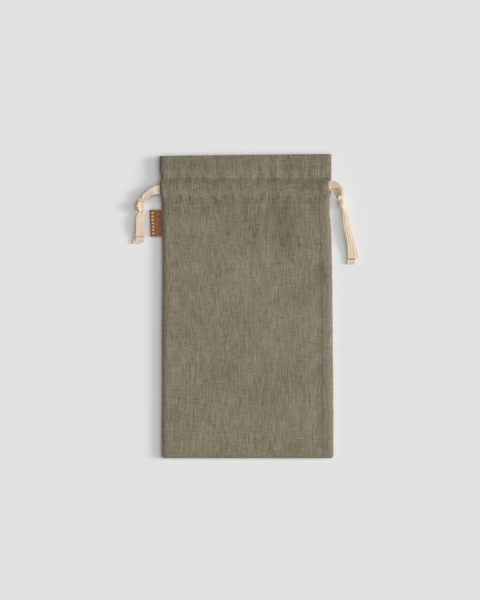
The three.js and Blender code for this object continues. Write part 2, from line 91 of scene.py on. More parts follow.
# The left and right edges of the pouch: y, left, right
SIDES = [
    (BOTTOM, -98.0, 99.0),
    (-142.0, -98.0, 99.0),
    (-108.0, -97.6, 98.9),
    (-28.0, -97.6, 98.1),
    (27.0, -97.2, 97.7),
    (73.0, -97.3, 96.8),
    (116.0, -98.0, 94.5),
    (LOWER_STITCHES, -98.8, 94.2),
    (131.8, -100.0, 96.4),
    (133.4, -100.1, 93.6),
    (142.8, -100.1, 93.6),
    (144.4, -99.4, 96.5),
    (UPPER_STITCHES, -99.0, 96.6),
    (156.0, -100.6, 96.6),
    (MOUTH, -100.4, 96.6),
]

# The inner face of the front, the wall of each panel and the height of the gathers: y, inner, wall, gather
WALLS = [
    (BOTTOM, BODY_INNER, CLOTH_WALL, 0),
    (92, BODY_INNER, CLOTH_WALL, 0),
    (117.4, MOUTH_INNER, CLOTH_WALL, 0.6),
    (119.4, MOUTH_INNER, HEADING_WALL, 0.6),
    (LOWER_STITCHES, MOUTH_INNER, HEADING_WALL, 0.6),
    (TUNNEL_LOW, MOUTH_INNER, CASING_WALL, 0.15),
    (TUNNEL_HIGH, MOUTH_INNER, CASING_WALL, 0.15),
    (UPPER_STITCHES, MOUTH_INNER, HEADING_WALL, 0.7),
    (152, MOUTH_INNER, HEADING_WALL, 0.8),
    (MOUTH, MOUTH_INNER, HEADING_WALL, 0.2),
]

# Long soft folds of the front: x0, y0, x1, y1, half width, height
FOLDS = [
    (25, 132, 31, 64, 13, -1.4),
    (58, 128, 53, 62, 12, 0.8),
    (15, 68, 18, 54, 7, 0.5),
    (80, 60, 80, -160, 6, -0.6),
    (-83, 60, -84, -150, 5, -0.1),
    (-30, 20, -44, -90, 26, 0.6),
    (34, -40, 40, -130, 28, 0.6),
]
# How many half widths away from its line a fold is level
FOLD_REACH = 3
# The folds fade towards the mouth: from where, over how far, and to which share
FOLD_FADE = (TUNNEL_LOW - 4, 22, 0.3)

# Crests and valleys of the gathered heading in turn, starting with a valley
GATHERS = [
    -84, -77, -69, -61, -52, -45, -37, -30, -22, -14, -6, 2, 10, 18, 25, 33, 41, 49, 57, 64, 71, 78, 84,
]
# How much of the solid's gathers a thin cloth keeps
GATHER_SOFTNESS = 0.7

# A pressed edge rises more at once than the solid's: the power of its share
PRESSED_EDGE = 0.72

# The drawn-in casing lines: the line, how deep its thread lies, and how far its puckers reach
DRAWN_LINES = ((LOWER_THREAD, 0.08, 5.0), (UPPER_THREAD, 0.22, 6.0))
# After how many times that reach no pucker shows
PUCKERS_END = 4
# Puckers: their size, how much they are drawn out along the pouch, their share and a seed
PUCKERS = ((6.0, 0.3, 1, 0), (3.0, 0.35, 0.7, 3))
PUCKER_HEIGHT = 1.05
# Half the width of a thread's groove, and how much and how often its depth changes along the line
THREAD_GROOVE = 1.3
GROOVE_CHANGE = (0.5, 2.6)
# The trough in the casing: how far below the upper thread, half its width, and its depth
TROUGH = (5.1, 3.0, 0.3)
# How much of the seam allowances shows through at the left and at the right
ALLOWANCE_SHOWS = {"left": 0.2, "right": 0.85}
# The step off an allowance and the groove beside it: depth, where from its end, and width
ALLOWANCE_STEP = (0.32, -0.6, 2.2)
ALLOWANCE_GROOVE = (0.18, 1.8, 1.6)
# Slow creases: their height, their size, and how much they are drawn out along the pouch
CREASES = ((0.24, 28, 0.35), (0.07, 10, 0.45), (0.02, 3.4, 0.6))
# How far in from the edges the relief comes up
RELIEF_FROM_EDGE = 5

# Free parts of the tapes: x, y, z of the middle, width, how far the width is turned from +Y, tilt,
# and how far the edges roll under instead of lying in pleats
LEFT_UPPER_LEAD = [
    (-101.8, 133.3, 7.3, 9.9, 4, 0, 0),
    (-104.8, 132.7, 8.1, 9.5, 13, 2, 0),
    (-108.6, 131.3, 8.2, 8.6, 26, 4, 0),
    (-112.2, 129.4, 7.6, 7.4, 42, 14, 0.2),
    (-116.0, 126.8, 6.8, 6.6, 48, 12, 0.5),
    (-119.6, 122.9, 6.0, 5.2, 56, 6, 0.8),
]
LEFT_LOWER_LEAD = [
    (-103.6, 132.6, 1.5, 9.4, 4, 0, 0),
    (-108.6, 131.4, 1.4, 7.6, 22, 2, 0),
    (-113.6, 128.2, 1.8, 6.0, 44, 4, 0),
    (-118.0, 124.0, 2.6, 4.8, 54, 4, 0.4),
    (-121.6, 118.4, 3.4, 4.0, 74, 0, 1),
]
LEFT_UPPER_TAIL = [
    (-122.5, 107.6, 4.2, 5.2, 90, 0, 0.4),
    (-122.5, 105.8, 4.5, 7.2, 90, 1, 0.2),
    (-122.4, 103.6, 4.9, 9.2, 90, 2, 0),
    (-122.5, 97.0, 5.3, 9.8, 90, 2, 0),
    (-122.7, 87.4, 4.9, 9.8, 90, 1, 0),
    (-122.9, 79.4, 3.4, 9.5, 90, 0, 0),
    (-123.1, 75.7, 2.8, 9.3, 91, 0, 0),
    (-123.2, 74.4, 2.2, 9.2, 91, 0, 0),
]
LEFT_LOWER_TAIL = [
    (-122.8, 112.0, 3.0, 4.0, 90, 0, 1),
    (-122.7, 107.4, 3.0, 5.0, 90, 0, 0.4),
    (-122.5, 104.6, 3.2, 7.4, 90, 0, 0.2),
    (-122.6, 98.6, 3.4, 9.4, 91, 0, 0),
    (-123.0, 93.4, 3.2, 9.8, 96, 0, 0),
    (-124.5, 85.2, 2.6, 10, 99, 0, 0),
    (-125.6, 78.0, 2.0, 10, 97, 0, 0),
    (-126.2, 72.7, 1.7, 10, 94, 0, 0),
]
RIGHT_UPPER_LEAD = [
    (97.0, 138.8, 5.4, 8.8, -2, 2, 0),
    (99.6, 139.4, 6.0, 7.8, -8, 4, 0),
    (102.4, 138.7, 6.3, 6.6, -24, 8, 0),
    (105.0, 136.8, 6.5, 6.0, -46, 14, 0.3),
    (106.8, 133.8, 6.5, 5.9, -68, 22, 0.6),
    (107.5, 130.4, 6.5, 5.6, -82, 26, 0.7),
    (107.9, 126.8, 6.3, 4.6, -90, 14, 0.6),
]
RIGHT_LOWER_LEAD = [
    (98.0, 136.0, 2.2, 8.4, -14, -4, 0),
    (100.3, 134.3, 2.8, 8.0, -38, 8, 0),
    (102.6, 131.2, 3.0, 8.4, -52, 36, 0),
    (104.6, 127.5, 3.1, 7.6, -58, 40, 0),
    (106.2, 123.7, 3.4, 4.8, -66, 10, 0.5),
    (107.8, 120.0, 3.4, 4.0, -66, 0, 1),
]
RIGHT_UPPER_TAIL = [
    (110.0, 112.0, 4.2, 4.6, -72, 0, 0.6),
    (110.6, 109.4, 4.5, 5.4, -73, 0, 0.5),
    (111.8, 103.0, 5.1, 6.4, -74, 0, 0.35),
    (113.3, 92.8, 5.6, 7.0, -75, -2, 0.2),
    (117.6, 75.4, 5.0, 7.8, -78, -1, 0.1),
    (119.7, 58.6, 3.0, 8.8, -89, 0, 0),
    (119.3, 51.0, 2.4, 9.0, -92, 0, 0),
    (119.2, 48.9, 1.9, 9.0, -92, 0, 0),
]
RIGHT_LOWER_TAIL = [
    (108.8, 116.0, 3.0, 4.0, -76, 0, 1),
    (110.7, 110.6, 3.0, 5.0, -72, 0, 0.5),
    (112.4, 103.0, 3.4, 6.6, -74, 0, 0.3),
    (113.8, 92.2, 3.8, 7.4, -74, 0, 0.1),
    (118.2, 76.0, 3.0, 8.0, -76, 0, 0),
    (121.7, 62.0, 2.0, 9.6, -77, 0, 0),
    (123.2, 54.9, 1.7, 10, -77, 0, 0),
]
# How much of a tape's end is turned under
HEM_FOLD = 6.6

# The wrap of a knot about its middle: to the right, along, up, width and roll of the tape,
# for a knot of this length
WRAP_LENGTH = 15
WRAP = [
    (1.6, 7.4, 1.7, 5.2, 0.7),
    (-0.8, 5.4, 1.8, 5.0, 0.8),
    (-3.2, 2.4, 1.1, 4.8, 0.8),
    (-3.6, -1.0, 0.2, 4.8, 0.8),
    (-2.0, -3.8, -0.9, 4.6, 1),
    (1.0, -3.2, -1.6, 4.4, 0.8),
    (2.2, -0.2, -1.0, 4.4, 0.9),
    (2.4, 3.4, 0.5, 4.6, 0.9),
    (1.6, 5.6, 2.2, 5.6, 0.6),
    (0.7, 3.2, 3.2, 7.2, 0.35),
    (0.5, -1.2, 3.0, 7.0, 0.35),
    (0.4, -5.2, 1.9, 4.8, 0.6),
]

# Each tape: the side of its slit, its lane in the casing, where it leaves and where it turns back,
# its widths there and in the slit, how far its upper lead is sunk under the cloth's edge, how wide its
# hem stitches are, its pleats where it is narrowed, and how deep they are against those of a sharp fold
TAPE_VALUES = (
    "side", "lane", "exit", "turn_back", "turn_width", "slit_width", "sunk", "hem_mark", "pleats", "depth",
)
LEFT_TAPE = dict(zip(TAPE_VALUES, (-1, 129.7, 133.4, 128.8, 5.4, 9.8, 0, 1.5, 2.5, 0.42)))
RIGHT_TAPE = dict(zip(TAPE_VALUES, (1, 140.0, 138.3, 141.8, 5.8, 8.8, 1.7, 2.3, 3, 0.34)))
LEFT_KNOT = {"x": -122.8, "y": 114.2, "z": 4.2, "length": 15, "turn": 8, "mirror": 1}
RIGHT_KNOT = {"x": 108.6, "y": 117.4, "z": 4.1, "length": 12.5, "turn": 18, "mirror": -1}
TAPE_WIDTH = 9.9

# The label in the left seam
LABEL_MIDDLE = 95.1
LABEL_HEIGHT = 30.6
LABEL_REACH = 13.6
# From the label's middle up and down to its two layers
LABEL_LAYER = 0.55
# How far the label leans, in degrees
LABEL_LEAN = 2.5
# Its row of lozenges: how many, from one to the next, from the fold, and how wide and tall each is
LOZENGES = 7
LOZENGE_PITCH = 3.9
LOZENGE_IN = 2.9
LOZENGE_SIZE = (1.7, 1.4)

# The photograph's framing: the middle of its picture and its height on the table
PICTURE_MIDDLE = (-8.3, 6.9)
PICTURE_HEIGHT = 690
CAMERA_HEIGHT = 2400
SENSOR_WIDTH = 36
# The table: its width, and how far it lies under the cloth, in metres
TABLE_WIDTH = 8
TABLE_UNDER = 0.0002
# Where the lights' handles stand, in metres: a sun shines the same from everywhere
LIGHT_PLACE = (0.9, 0.1, 1.0)


# Numbers and tables


def clamp(value, low=0.0, high=1.0):
    return min(max(value, low), high)


def mix(a, b, t):
    return a + (b - a) * t


def smooth(t):
    c = clamp(t)
    return c * c * (3 - 2 * c)


def bell(distance, width):
    return math.exp(-((distance / width) ** 2))


def look_up(table, column, y):
    """One column of a table at y, eased from row to row."""
    if y <= table[0][0]:
        return table[0][column]
    for low, high in zip(table, table[1:]):
        if y < high[0]:
            return mix(low[column], high[column], smooth((y - low[0]) / (high[0] - low[0])))
    return table[-1][column]


def spaced(start, end, step):
    """Places from start to end, both included, about step apart."""
    count = max(1, round(abs(end - start) / step))
    return [mix(start, end, n / count) for n in range(count + 1)]


# The outline and the faces of the panels


def corner_inset(y):
    below = CORNER_RADIUS - clamp(y - BOTTOM, 0, CORNER_RADIUS)
    return CORNER_RADIUS - math.sqrt(CORNER_RADIUS**2 - below**2)


def left_edge(y):
    return look_up(SIDES, 1, y) + corner_inset(y)


def right_edge(y):
    return look_up(SIDES, 2, y) - corner_inset(y)


def edge_at(side, y):
    return left_edge(y) if side < 0 else right_edge(y)


def side_distance(x, y):
    return min(x - left_edge(y), right_edge(y) - x)


def mouth_drop(x, y):
    """How far the cloth is drawn down because the mouth slopes, from none at the upper stitches."""
    from_right = clamp((right_edge(MOUTH) - x) / (right_edge(MOUTH) - left_edge(MOUTH)))
    return MOUTH_DROP * from_right**MOUTH_BEND * smooth((y - UPPER_STITCHES) / (MOUTH - UPPER_STITCHES))


def risen_from(distance):
    return math.sin(math.pi / 2 * clamp(distance / EDGE_ROUNDING))


def risen(x, y):
    return risen_from(side_distance(x, y)) * risen_from(y - BOTTOM)


def upright_share(x, y, climb):
    """The steeper the cloth stands at a seam, the more of its thickness lies upright."""
    steepest = climb * math.pi / 2 / EDGE_ROUNDING
    across = math.cos(math.pi / 2 * clamp(side_distance(x, y) / EDGE_ROUNDING))
    along = math.cos(math.pi / 2 * clamp((y - BOTTOM) / EDGE_ROUNDING))
    return math.hypot(1, steepest * across * risen_from(y - BOTTOM), steepest * along)


def fold_height(x, y):
    height = 0.0
    for x0, y0, x1, y1, half, rise in FOLDS:
        dx, dy = x1 - x0, y1 - y0
        t = clamp(((x - x0) * dx + (y - y0) * dy) / (dx * dx + dy * dy))
        away = math.hypot(x - x0 - t * dx, y - y0 - t * dy)
        if away < FOLD_REACH * half:
            height += rise * bell(away, half)
    fade_from, fade_over, fade_to = FOLD_FADE
    return height * mix(1, fade_to, smooth((y - fade_from) / fade_over))


def gather_height(x, y):
    if not GATHERS[0] < x < GATHERS[-1] or y < WALLS[1][0]:
        return 0.0
    after = next(n for n, place in enumerate(GATHERS) if place > x)
    t = smooth((x - GATHERS[after - 1]) / (GATHERS[after] - GATHERS[after - 1]))
    crest = t if after % 2 == 1 else 1 - t
    return GATHER_SOFTNESS * crest * look_up(WALLS, 3, y)


def front_inner(x, y):
    climb = look_up(WALLS, 1, y) - FRONT_SEAM
    up = risen(x, y) ** PRESSED_EDGE
    return FRONT_SEAM + climb * up + (fold_height(x, y) + gather_height(x, y)) * smooth(up)


def front_share(x, y):
    return upright_share(x, y, look_up(WALLS, 1, y) - FRONT_SEAM)


def front_outer(x, y):
    return front_inner(x, y) + look_up(WALLS, 2, y) * front_share(x, y)


def back_share(x, y):
    wall = look_up(WALLS, 2, y)
    return mix(min(SEAM_THICKENING, BACK_SEAM / wall), 1, risen(x, y))


def back_outer(x, y):
    wall = look_up(WALLS, 2, y)
    return (BACK_SEAM - min(wall * SEAM_THICKENING, BACK_SEAM)) * (1 - risen(x, y))


def wander(x, y, size, seed):
    """Smooth unevenness from -1 to 1, about size across."""
    return noise.noise(Vector((x / size, y / size, seed * 17.3)))


def front_relief(x, y):
    """The small relief of the front: drawn-in stitching, puckers, seam allowances and creases."""
    edge = side_distance(x, y)
    relief = 0.0
    change, size = GROOVE_CHANGE
    for line, depth, reach in DRAWN_LINES:
        away = abs(y - line)
        if away < PUCKERS_END * reach:
            pucker = 0.0
            for wide, drawn, share, seed in PUCKERS:
                pucker += share * wander(x, y * drawn, wide, line + seed)
            relief += PUCKER_HEIGHT * pucker * math.exp(-away / reach)
            relief -= depth * bell(away, THREAD_GROOVE) * (1 + change * wander(x, 0, size, line + 7))
    below, half, depth = TROUGH
    relief -= depth * bell(y - UPPER_THREAD + below, half)
    shows = ALLOWANCE_SHOWS["right" if x > 0 else "left"]
    depth, start, width = ALLOWANCE_STEP
    relief -= shows * depth * smooth((edge - ALLOWANCE - start) / width)
    depth, start, width = ALLOWANCE_GROOVE
    relief -= shows * depth * bell(edge - ALLOWANCE - start, width)
    for seed, (height, size, drawn) in enumerate(CREASES, 1):
        relief += height * wander(x, y * drawn, size, seed)
    return relief * smooth(edge / RELIEF_FROM_EDGE) * smooth((y - BOTTOM) / RELIEF_FROM_EDGE)


# Making meshes


def deselect():
    if bpy.context.object and bpy.context.object.mode != "OBJECT":
        bpy.ops.object.mode_set(mode="OBJECT")
    bpy.ops.object.select_all(action="DESELECT")


def take(piece):
    deselect()
    piece.select_set(True)
    bpy.context.view_layer.objects.active = piece


def woven_grid(name, columns, rows, place, lay):
    """A grid of cloth: place(i, j) gives each point in millimetres, lay(i, j) its place on the flat cut."""
    deselect()
    bpy.ops.mesh.primitive_grid_add(x_subdivisions=columns - 1, y_subdivisions=rows - 1, size=2)
    piece = bpy.context.object
    piece.name = name
    piece.data.name = name
    vertices = piece.data.vertices
    if len(vertices) != columns * rows:
        raise RuntimeError(f"{name}: the grid has {len(vertices)} points and not {columns * rows}")
    flat = []
    for vertex in vertices:
        i = round((vertex.co.x + 1) / 2 * (columns - 1))
        j = round((vertex.co.y + 1) / 2 * (rows - 1))
        vertex.co = Vector(place(i, j)) * MM
        u, v = lay(i, j)
        flat.append((u * MM, v * MM))
    layer = piece.data.uv_layers[0]
    layer.name = "cloth"
    for loop in piece.data.loops:
        layer.data[loop.index].uv = flat[loop.vertex_index]
    return piece


def thicken(piece, thickness, smooth_angle=50):
    """Gives a sheet its thickness, half to each side, and smooths it."""
    take(piece)
    solid = piece.modifiers.new("thickness", "SOLIDIFY")
    solid.thickness = thickness * MM
    solid.offset = 0
    bpy.ops.object.modifier_apply(modifier=solid.name)
    bpy.ops.object.shade_smooth_by_angle(angle=math.radians(smooth_angle))
    return piece


def strew(name, master, places):
    """One mesh of many copies of a small master: each place is its middle and three axes."""
    corners = [v.co.copy() for v in master.data.vertices]
    faces = [tuple(p.vertices) for p in master.data.polygons]
    points, polygons = [], []
    for middle, ahead, aside, above in places:
        start = len(points)
        for c in corners:
            points.append(middle + ahead * c.x + aside * c.y + above * c.z)
        polygons.extend(tuple(start + n for n in face) for face in faces)
    mesh = bpy.data.meshes.new(name)
    mesh.from_pydata(points, [], polygons)
    piece = bpy.data.objects.new(name, mesh)
    bpy.context.collection.objects.link(piece)
    bpy.data.objects.remove(master)
    take(piece)
    bpy.ops.object.shade_smooth()
    return piece


def finish_piece(piece, material, slot, *nodes):
    piece.data.materials.clear()
    piece.data.materials.append(material)
    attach(piece, "root")
    if nodes:
        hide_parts(*nodes)
    return piece


# Materials


class Shader:
    """A short way to write a material's nodes."""

    def __init__(self, name):
        self.material = bpy.data.materials.new(name)
        self.material.use_nodes = True
        self.tree = self.material.node_tree
        self.surface = self.tree.nodes["Principled BSDF"]

    def put(self, socket, value):
        if isinstance(value, bpy.types.NodeSocket):
            self.tree.links.new(value, socket)
        else:
            socket.default_value = value

    def math(self, operation, a, b=0.0, c=0.0):
        node = self.tree.nodes.new("ShaderNodeMath")
        node.operation = operation
        for socket, value in zip(node.inputs, (a, b, c)):
            self.put(socket, value)
        return node.outputs[0]

    def flat_place(self):
        """Across and along the cut cloth, in millimetres."""
        uv = self.tree.nodes.new("ShaderNodeUVMap")
        uv.uv_map = "cloth"
        parts = self.tree.nodes.new("ShaderNodeSeparateXYZ")
        self.tree.links.new(uv.outputs[0], parts.inputs[0])
        return self.math("MULTIPLY", parts.outputs[0], 1000), self.math("MULTIPLY", parts.outputs[1], 1000)

    def cloud(self, x, y, seed, detail, roughness=0.5):
        """Noise whose cells are one unit of x by one unit of y."""
        cells = self.tree.nodes.new("ShaderNodeCombineXYZ")
        for socket, value in zip(cells.inputs, (x, y, seed)):
            self.put(socket, value)
        node = self.tree.nodes.new("ShaderNodeTexNoise")
        self.put(node.inputs["Vector"], cells.outputs[0])
        node.inputs["Scale"].default_value = 1.0
        node.inputs["Detail"].default_value = detail
        node.inputs["Roughness"].default_value = roughness
        return node.outputs["Fac"]

    def scaled(self, value, size):
        return self.math("DIVIDE", value, size)

    def ridges(self, place):
        """Round ridges, one to each unit of the place."""
        return self.math("ABSOLUTE", self.math("SINE", self.math("MULTIPLY", place, math.pi)))

    def held(self, value):
        """The value kept from 0 to 1."""
        return self.math("MINIMUM", self.math("MAXIMUM", value, 0.0), 1.0)

    def toned(self, tone, pattern, weight, middle=0.5):
        """The tone, lighter where the pattern is over its middle and darker where it is under."""
        return self.math("MULTIPLY_ADD", self.math("SUBTRACT", pattern, middle), weight, tone)

    def paint(self, factor, dark, light):
        node = self.tree.nodes.new("ShaderNodeMix")
        node.data_type = "RGBA"
        for socket, value in zip((node.inputs[0], *node.inputs[6:8]), (factor, colour(dark), colour(light))):
            self.put(socket, value)
        self.put(self.surface.inputs["Base Color"], node.outputs[2])

    def bump(self, height, distance, strength):
        node = self.tree.nodes.new("ShaderNodeBump")
        node.inputs["Strength"].default_value = strength
        node.inputs["Distance"].default_value = distance * MM
        self.put(node.inputs["Height"], height)
        self.tree.links.new(node.outputs[0], self.surface.inputs["Normal"])

    def constants(self, roughness, specular, sheen):
        self.surface.inputs["Roughness"].default_value = roughness
        self.surface.inputs["Specular IOR Level"].default_value = specular
        self.surface.inputs["Sheen Weight"].default_value = sheen
        self.surface.inputs["Sheen Roughness"].default_value = 0.6


def colour(value):
    return (*value, 1.0)


# Bands across the cloth: painted shade below and painted highlight above each casing line, and one broad
# band darker over the heading and casing; lighter where their last value is below 0: their middle, half
# their width, how softly they end, and by how much they are darker
SHADE_AND_HIGHLIGHT_BANDS = [
    (147.6, 26.0, 66.0, 0.10),
    (151.4, 2.4, 4.0, -0.10),
    (143.2, 1.6, 3.0, 0.12),
    (129.6, 1.4, 3.0, -0.07),
    (121.0, 1.6, 3.4, 0.03),
]

# The weft's pitch against the warp's, and how far a yarn of the warp and of the weft keeps its tone
WEFT_PITCH = 1.12
WARP_KEEPS = 13.0
WEFT_KEEPS = 10.0
# How much the yarn that lies on top, a warp yarn and a weft yarn change the tone
ON_TOP = 0.8
WARP_WEIGHT = 1.8
WEFT_WEIGHT = 0.95
# Streaks, rows and patches of the linen: their size across and along, a seed and their weight in the tone
LINEN_CLOUDS = ((1.3, 24.0, 9.0, 0.85), (12.0, 1.4, 13.0, 0.3), (48.0, 60.0, 17.0, 0.5))
# How much of its rise a yarn keeps between the crests, and how much its thick places rise
UNDER_RISE = 0.4
THICK_RISE = 1.1

# From rib to rib and from pick to pick in the tape and in the label
TAPE_RIB = 0.95
TAPE_PICK = 0.45
LABEL_RIB = 0.32
LABEL_PICK = 0.5


def linen_material(settings):
    """Plain-weave linen: every yarn has its own tone and thick places, and the warp shows most."""
    s = Shader("linen")
    across, along = s.flat_place()
    pitch = settings.yarn_pitch * 1000
    warp = s.scaled(across, pitch)
    weft = s.scaled(along, pitch * WEFT_PITCH)
    warp_yarn = s.math("FLOOR", warp)
    weft_yarn = s.math("FLOOR", weft)
    warp_tone = s.cloud(s.math("MULTIPLY", warp_yarn, 3.71), s.scaled(along, WARP_KEEPS), 1.0, 2.0)
    weft_tone = s.cloud(s.scaled(across, WEFT_KEEPS), s.math("MULTIPLY", weft_yarn, 2.93), 5.0, 2.0)
    over = s.math("FLOORED_MODULO", s.math("ADD", warp_yarn, weft_yarn), 2.0)
    under = s.math("SUBTRACT", 1.0, over)
    yarn = s.math("ADD", s.math("MULTIPLY", warp_tone, over), s.math("MULTIPLY", weft_tone, under))
    clouds = [(warp_tone, WARP_WEIGHT), (weft_tone, WEFT_WEIGHT)]
    for wide, long, seed, weight in LINEN_CLOUDS:
        clouds.append((s.cloud(s.scaled(across, wide), s.scaled(along, long), seed, 1.0), weight))
    streaks = clouds[2][0]
    tone = s.math("MULTIPLY", s.math("SUBTRACT", yarn, 0.5), ON_TOP)
    for cloud, weight in clouds:
        tone = s.toned(tone, cloud, weight)
    tone = s.math("ADD", s.math("MULTIPLY", tone, settings.slub), 0.5)
    # Painted shade and painted highlight along the casing lines, and a broad darker band over the heading
    # and casing
    for middle, half, soft, weight in SHADE_AND_HIGHLIGHT_BANDS:
        away = s.math("ABSOLUTE", s.math("SUBTRACT", along, middle))
        share = s.held(s.math("DIVIDE", s.math("SUBTRACT", half + soft, away), soft))
        tone = s.math("MULTIPLY_ADD", share, -weight, tone)
    s.paint(s.held(tone), settings.dark, settings.light)
    warp_round, weft_round = s.ridges(warp), s.ridges(weft)
    warp_crest = s.math("MULTIPLY", warp_round, s.math("ADD", weft_round, UNDER_RISE))
    weft_crest = s.math("MULTIPLY", weft_round, s.math("ADD", warp_round, UNDER_RISE))
    warp_up = s.math("MULTIPLY", warp_crest, over)
    weft_up = s.math("MULTIPLY", weft_crest, under)
    thick_places = s.math("MULTIPLY", s.math("ADD", yarn, streaks), THICK_RISE)
    s.bump(s.math("ADD", s.math("ADD", warp_up, weft_up), thick_places), 0.09, 0.8)
    s.constants(0.92, 0.15, 0.12)
    return s.material


def tape_material(settings):
    """Cotton tape with ribs along it and a fine weft."""
    s = Shader("cotton_tape")
    across, along = s.flat_place()
    rib = s.ridges(s.scaled(across, TAPE_RIB))
    pick = s.ridges(s.scaled(along, TAPE_PICK))
    streak = s.cloud(s.scaled(across, 0.8), s.scaled(along, 16.0), 3.0, 2.0, 0.6)
    fleck = s.cloud(s.scaled(across, 1.6), s.scaled(along, 2.6), 7.0, 2.0, 0.6)
    tone = s.toned(0.5, rib, 0.22, 0.6)
    tone = s.toned(tone, streak, 1.2)
    tone = s.toned(tone, fleck, 0.5)
    s.paint(s.held(tone), settings.shade, settings.light)
    s.bump(s.math("ADD", s.math("MULTIPLY", rib, 0.7), s.math("MULTIPLY", pick, 0.35)), 0.10, 0.8)
    s.constants(0.9, 0.15, 0.1)
    return s.material


def label_material(settings):
    """A closely woven label with fine ribs across it."""
    s = Shader("label")
    across, along = s.flat_place()
    rib = s.ridges(s.scaled(across, LABEL_RIB))
    pick = s.ridges(s.scaled(along, LABEL_PICK))
    fleck = s.cloud(s.scaled(across, 1.5), s.scaled(along, 1.5), 4.0, 1.0)
    tone = s.toned(s.toned(0.5, fleck, 2.6), rib, 0.25, 0.6)
    s.paint(s.held(tone), settings.shade, settings.light)
    s.bump(s.math("ADD", rib, s.math("MULTIPLY", pick, 0.6)), 0.06, 0.7)
    s.constants(0.8, 0.2, 0.1)
    return s.material


def thread_material(name, thread_colour):
    """Twisted sewing thread with a slight lustre."""
    s = Shader(name)
    place = s.tree.nodes.new("ShaderNodeTexCoord").outputs["Object"]
    node = s.tree.nodes.new("ShaderNodeTexNoise")
    node.inputs["Scale"].default_value = 900
    node.inputs["Detail"].default_value = 2
    s.tree.links.new(place, node.inputs["Vector"])
    low = [channel * 0.72 for channel in thread_colour]
    high = [min(1.0, channel * 1.25) for channel in thread_colour]
    s.paint(node.outputs["Fac"], low, high)
    s.bump(node.outputs["Fac"], 0.05, 0.6)
    s.constants(0.7, 0.3, 0.1)
    return s.material


def floor_material(settings):
    """A plain pale table."""
    s = Shader("floor")
    s.surface.inputs["Base Color"].default_value = colour(settings.floor)
    s.constants(0.95, 0.0, 0.0)
    return s.material


# Sizes and colours


def sized(name, description, default):
    return FloatProperty(name=name, description=description, default=default, unit="LENGTH", precision=5)


def tinted(name, description, *default):
    return FloatVectorProperty(name=name, description=description, default=default, subtype="COLOR")


def amount(name, description, default):
    return FloatProperty(name=name, description=description, default=default, min=0)


class PouchLinen(bpy.types.PropertyGroup):
    thickness: sized("Cloth", "Thickness of the linen", 0.00036)
    yarn_pitch: sized("Yarn", "From yarn to yarn", 0.00058)
    slub: amount("Slub", "How uneven the yarns are in tone", 0.68)
    dark: tinted("Dark yarn", "Darkest tone", 0.118, 0.102, 0.067)
    light: tinted("Light yarn", "Lightest tone", 0.352, 0.312, 0.222)
    thread: tinted("Thread", "Sewing thread", 0.42, 0.375, 0.28)


class PouchTape(bpy.types.PropertyGroup):
    thickness: sized("Tape", "Thickness of the tape", 0.00055)
    light: tinted("Light", "Lightest tone", 0.92, 0.77, 0.60)
    shade: tinted("Shade", "Darkest tone", 0.62, 0.47, 0.33)
    thread: tinted("Thread", "Hem thread", 0.36, 0.20, 0.13)


class PouchLabel(bpy.types.PropertyGroup):
    thickness: sized("Label", "Thickness of the label", 0.00055)
    light: tinted("Light", "Lightest tone", 0.46, 0.180, 0.098)
    shade: tinted("Shade", "Darkest tone", 0.115, 0.050, 0.032)
    gold: tinted("Pattern", "Woven pattern", 0.72, 0.42, 0.09)


class PouchStitch(bpy.types.PropertyGroup):
    pitch: sized("Pitch", "From stitch to stitch", 0.0031)
    length: sized("Length", "Length of a stitch", 0.0014)
    thick: sized("Thread", "Thickness of the thread", 0.00055)


class PouchStage(bpy.types.PropertyGroup):
    floor: tinted("Floor", "Colour of the table", 0.80, 0.80, 0.80)
    low_light: amount("Low light", "What the low light gives the table", 0.78)
    low_elevation: amount("Its height", "In degrees", 22)
    low_spread: amount("Its spread", "In degrees", 16)
    side_light: amount("Side light", "What the side light gives the table", 0.95)
    side_elevation: amount("Its height", "In degrees", 48)
    side_spread: amount("Its spread", "In degrees", 64)
    top_light: amount("Top light", "What the top light gives the table", 1.1)
    top_elevation: amount("Its height", "In degrees", 90)
    top_spread: amount("Its spread", "In degrees", 68)
    azimuth: FloatProperty(name="Azimuth", description="Degrees from the right to the lights", default=3)
    fill: amount("Fill light", "Strength of the light all round", 0.04)


# Stage


class POUCH_OT_stage(bpy.types.Operator):
    """The table, the soft light from the right and the camera above the pouch"""

    bl_idname = "pouch.stage"
    bl_label = "Stage"

    def execute(self, context):
        settings = context.scene.pouch_stage
        deselect()
        bpy.ops.mesh.primitive_plane_add(size=TABLE_WIDTH, location=(0, 0, -TABLE_UNDER))
        floor = context.object
        floor.name = "floor"
        floor.data.materials.append(floor_material(settings))
        world = bpy.data.worlds.new("soft_room")
        world.use_nodes = True
        background = world.node_tree.nodes["Background"]
        background.inputs["Color"].default_value = (1, 1, 1, 1)
        background.inputs["Strength"].default_value = settings.fill
        context.scene.world = world
        azimuth = math.radians(settings.azimuth)
        for name in ("low", "side", "top"):
            bpy.ops.object.light_add(type="SUN", location=LIGHT_PLACE)
            light = context.object
            light.name = name + "_light"
            elevation = math.radians(getattr(settings, name + "_elevation"))
            light.data.angle = math.radians(getattr(settings, name + "_spread"))
            light.data.energy = getattr(settings, name + "_light") / math.sin(elevation)
            level = math.cos(elevation)
            towards = Vector((math.cos(azimuth) * level, math.sin(azimuth) * level, math.sin(elevation)))
            light.rotation_euler = towards.to_track_quat("Z", "Y").to_euler()
        context.scene.view_settings.view_transform = "Standard"
        middle = Vector((*PICTURE_MIDDLE, CAMERA_HEIGHT)) * MM
        bpy.ops.object.camera_add(location=middle, rotation=(0, 0, 0))
        camera = context.object
        camera.name = "camera"
        camera.data.sensor_width = SENSOR_WIDTH
        camera.data.lens = SENSOR_WIDTH * CAMERA_HEIGHT / PICTURE_HEIGHT
        camera.data.clip_end = 20
        context.scene.camera = camera
        return {"FINISHED"}


# Panels

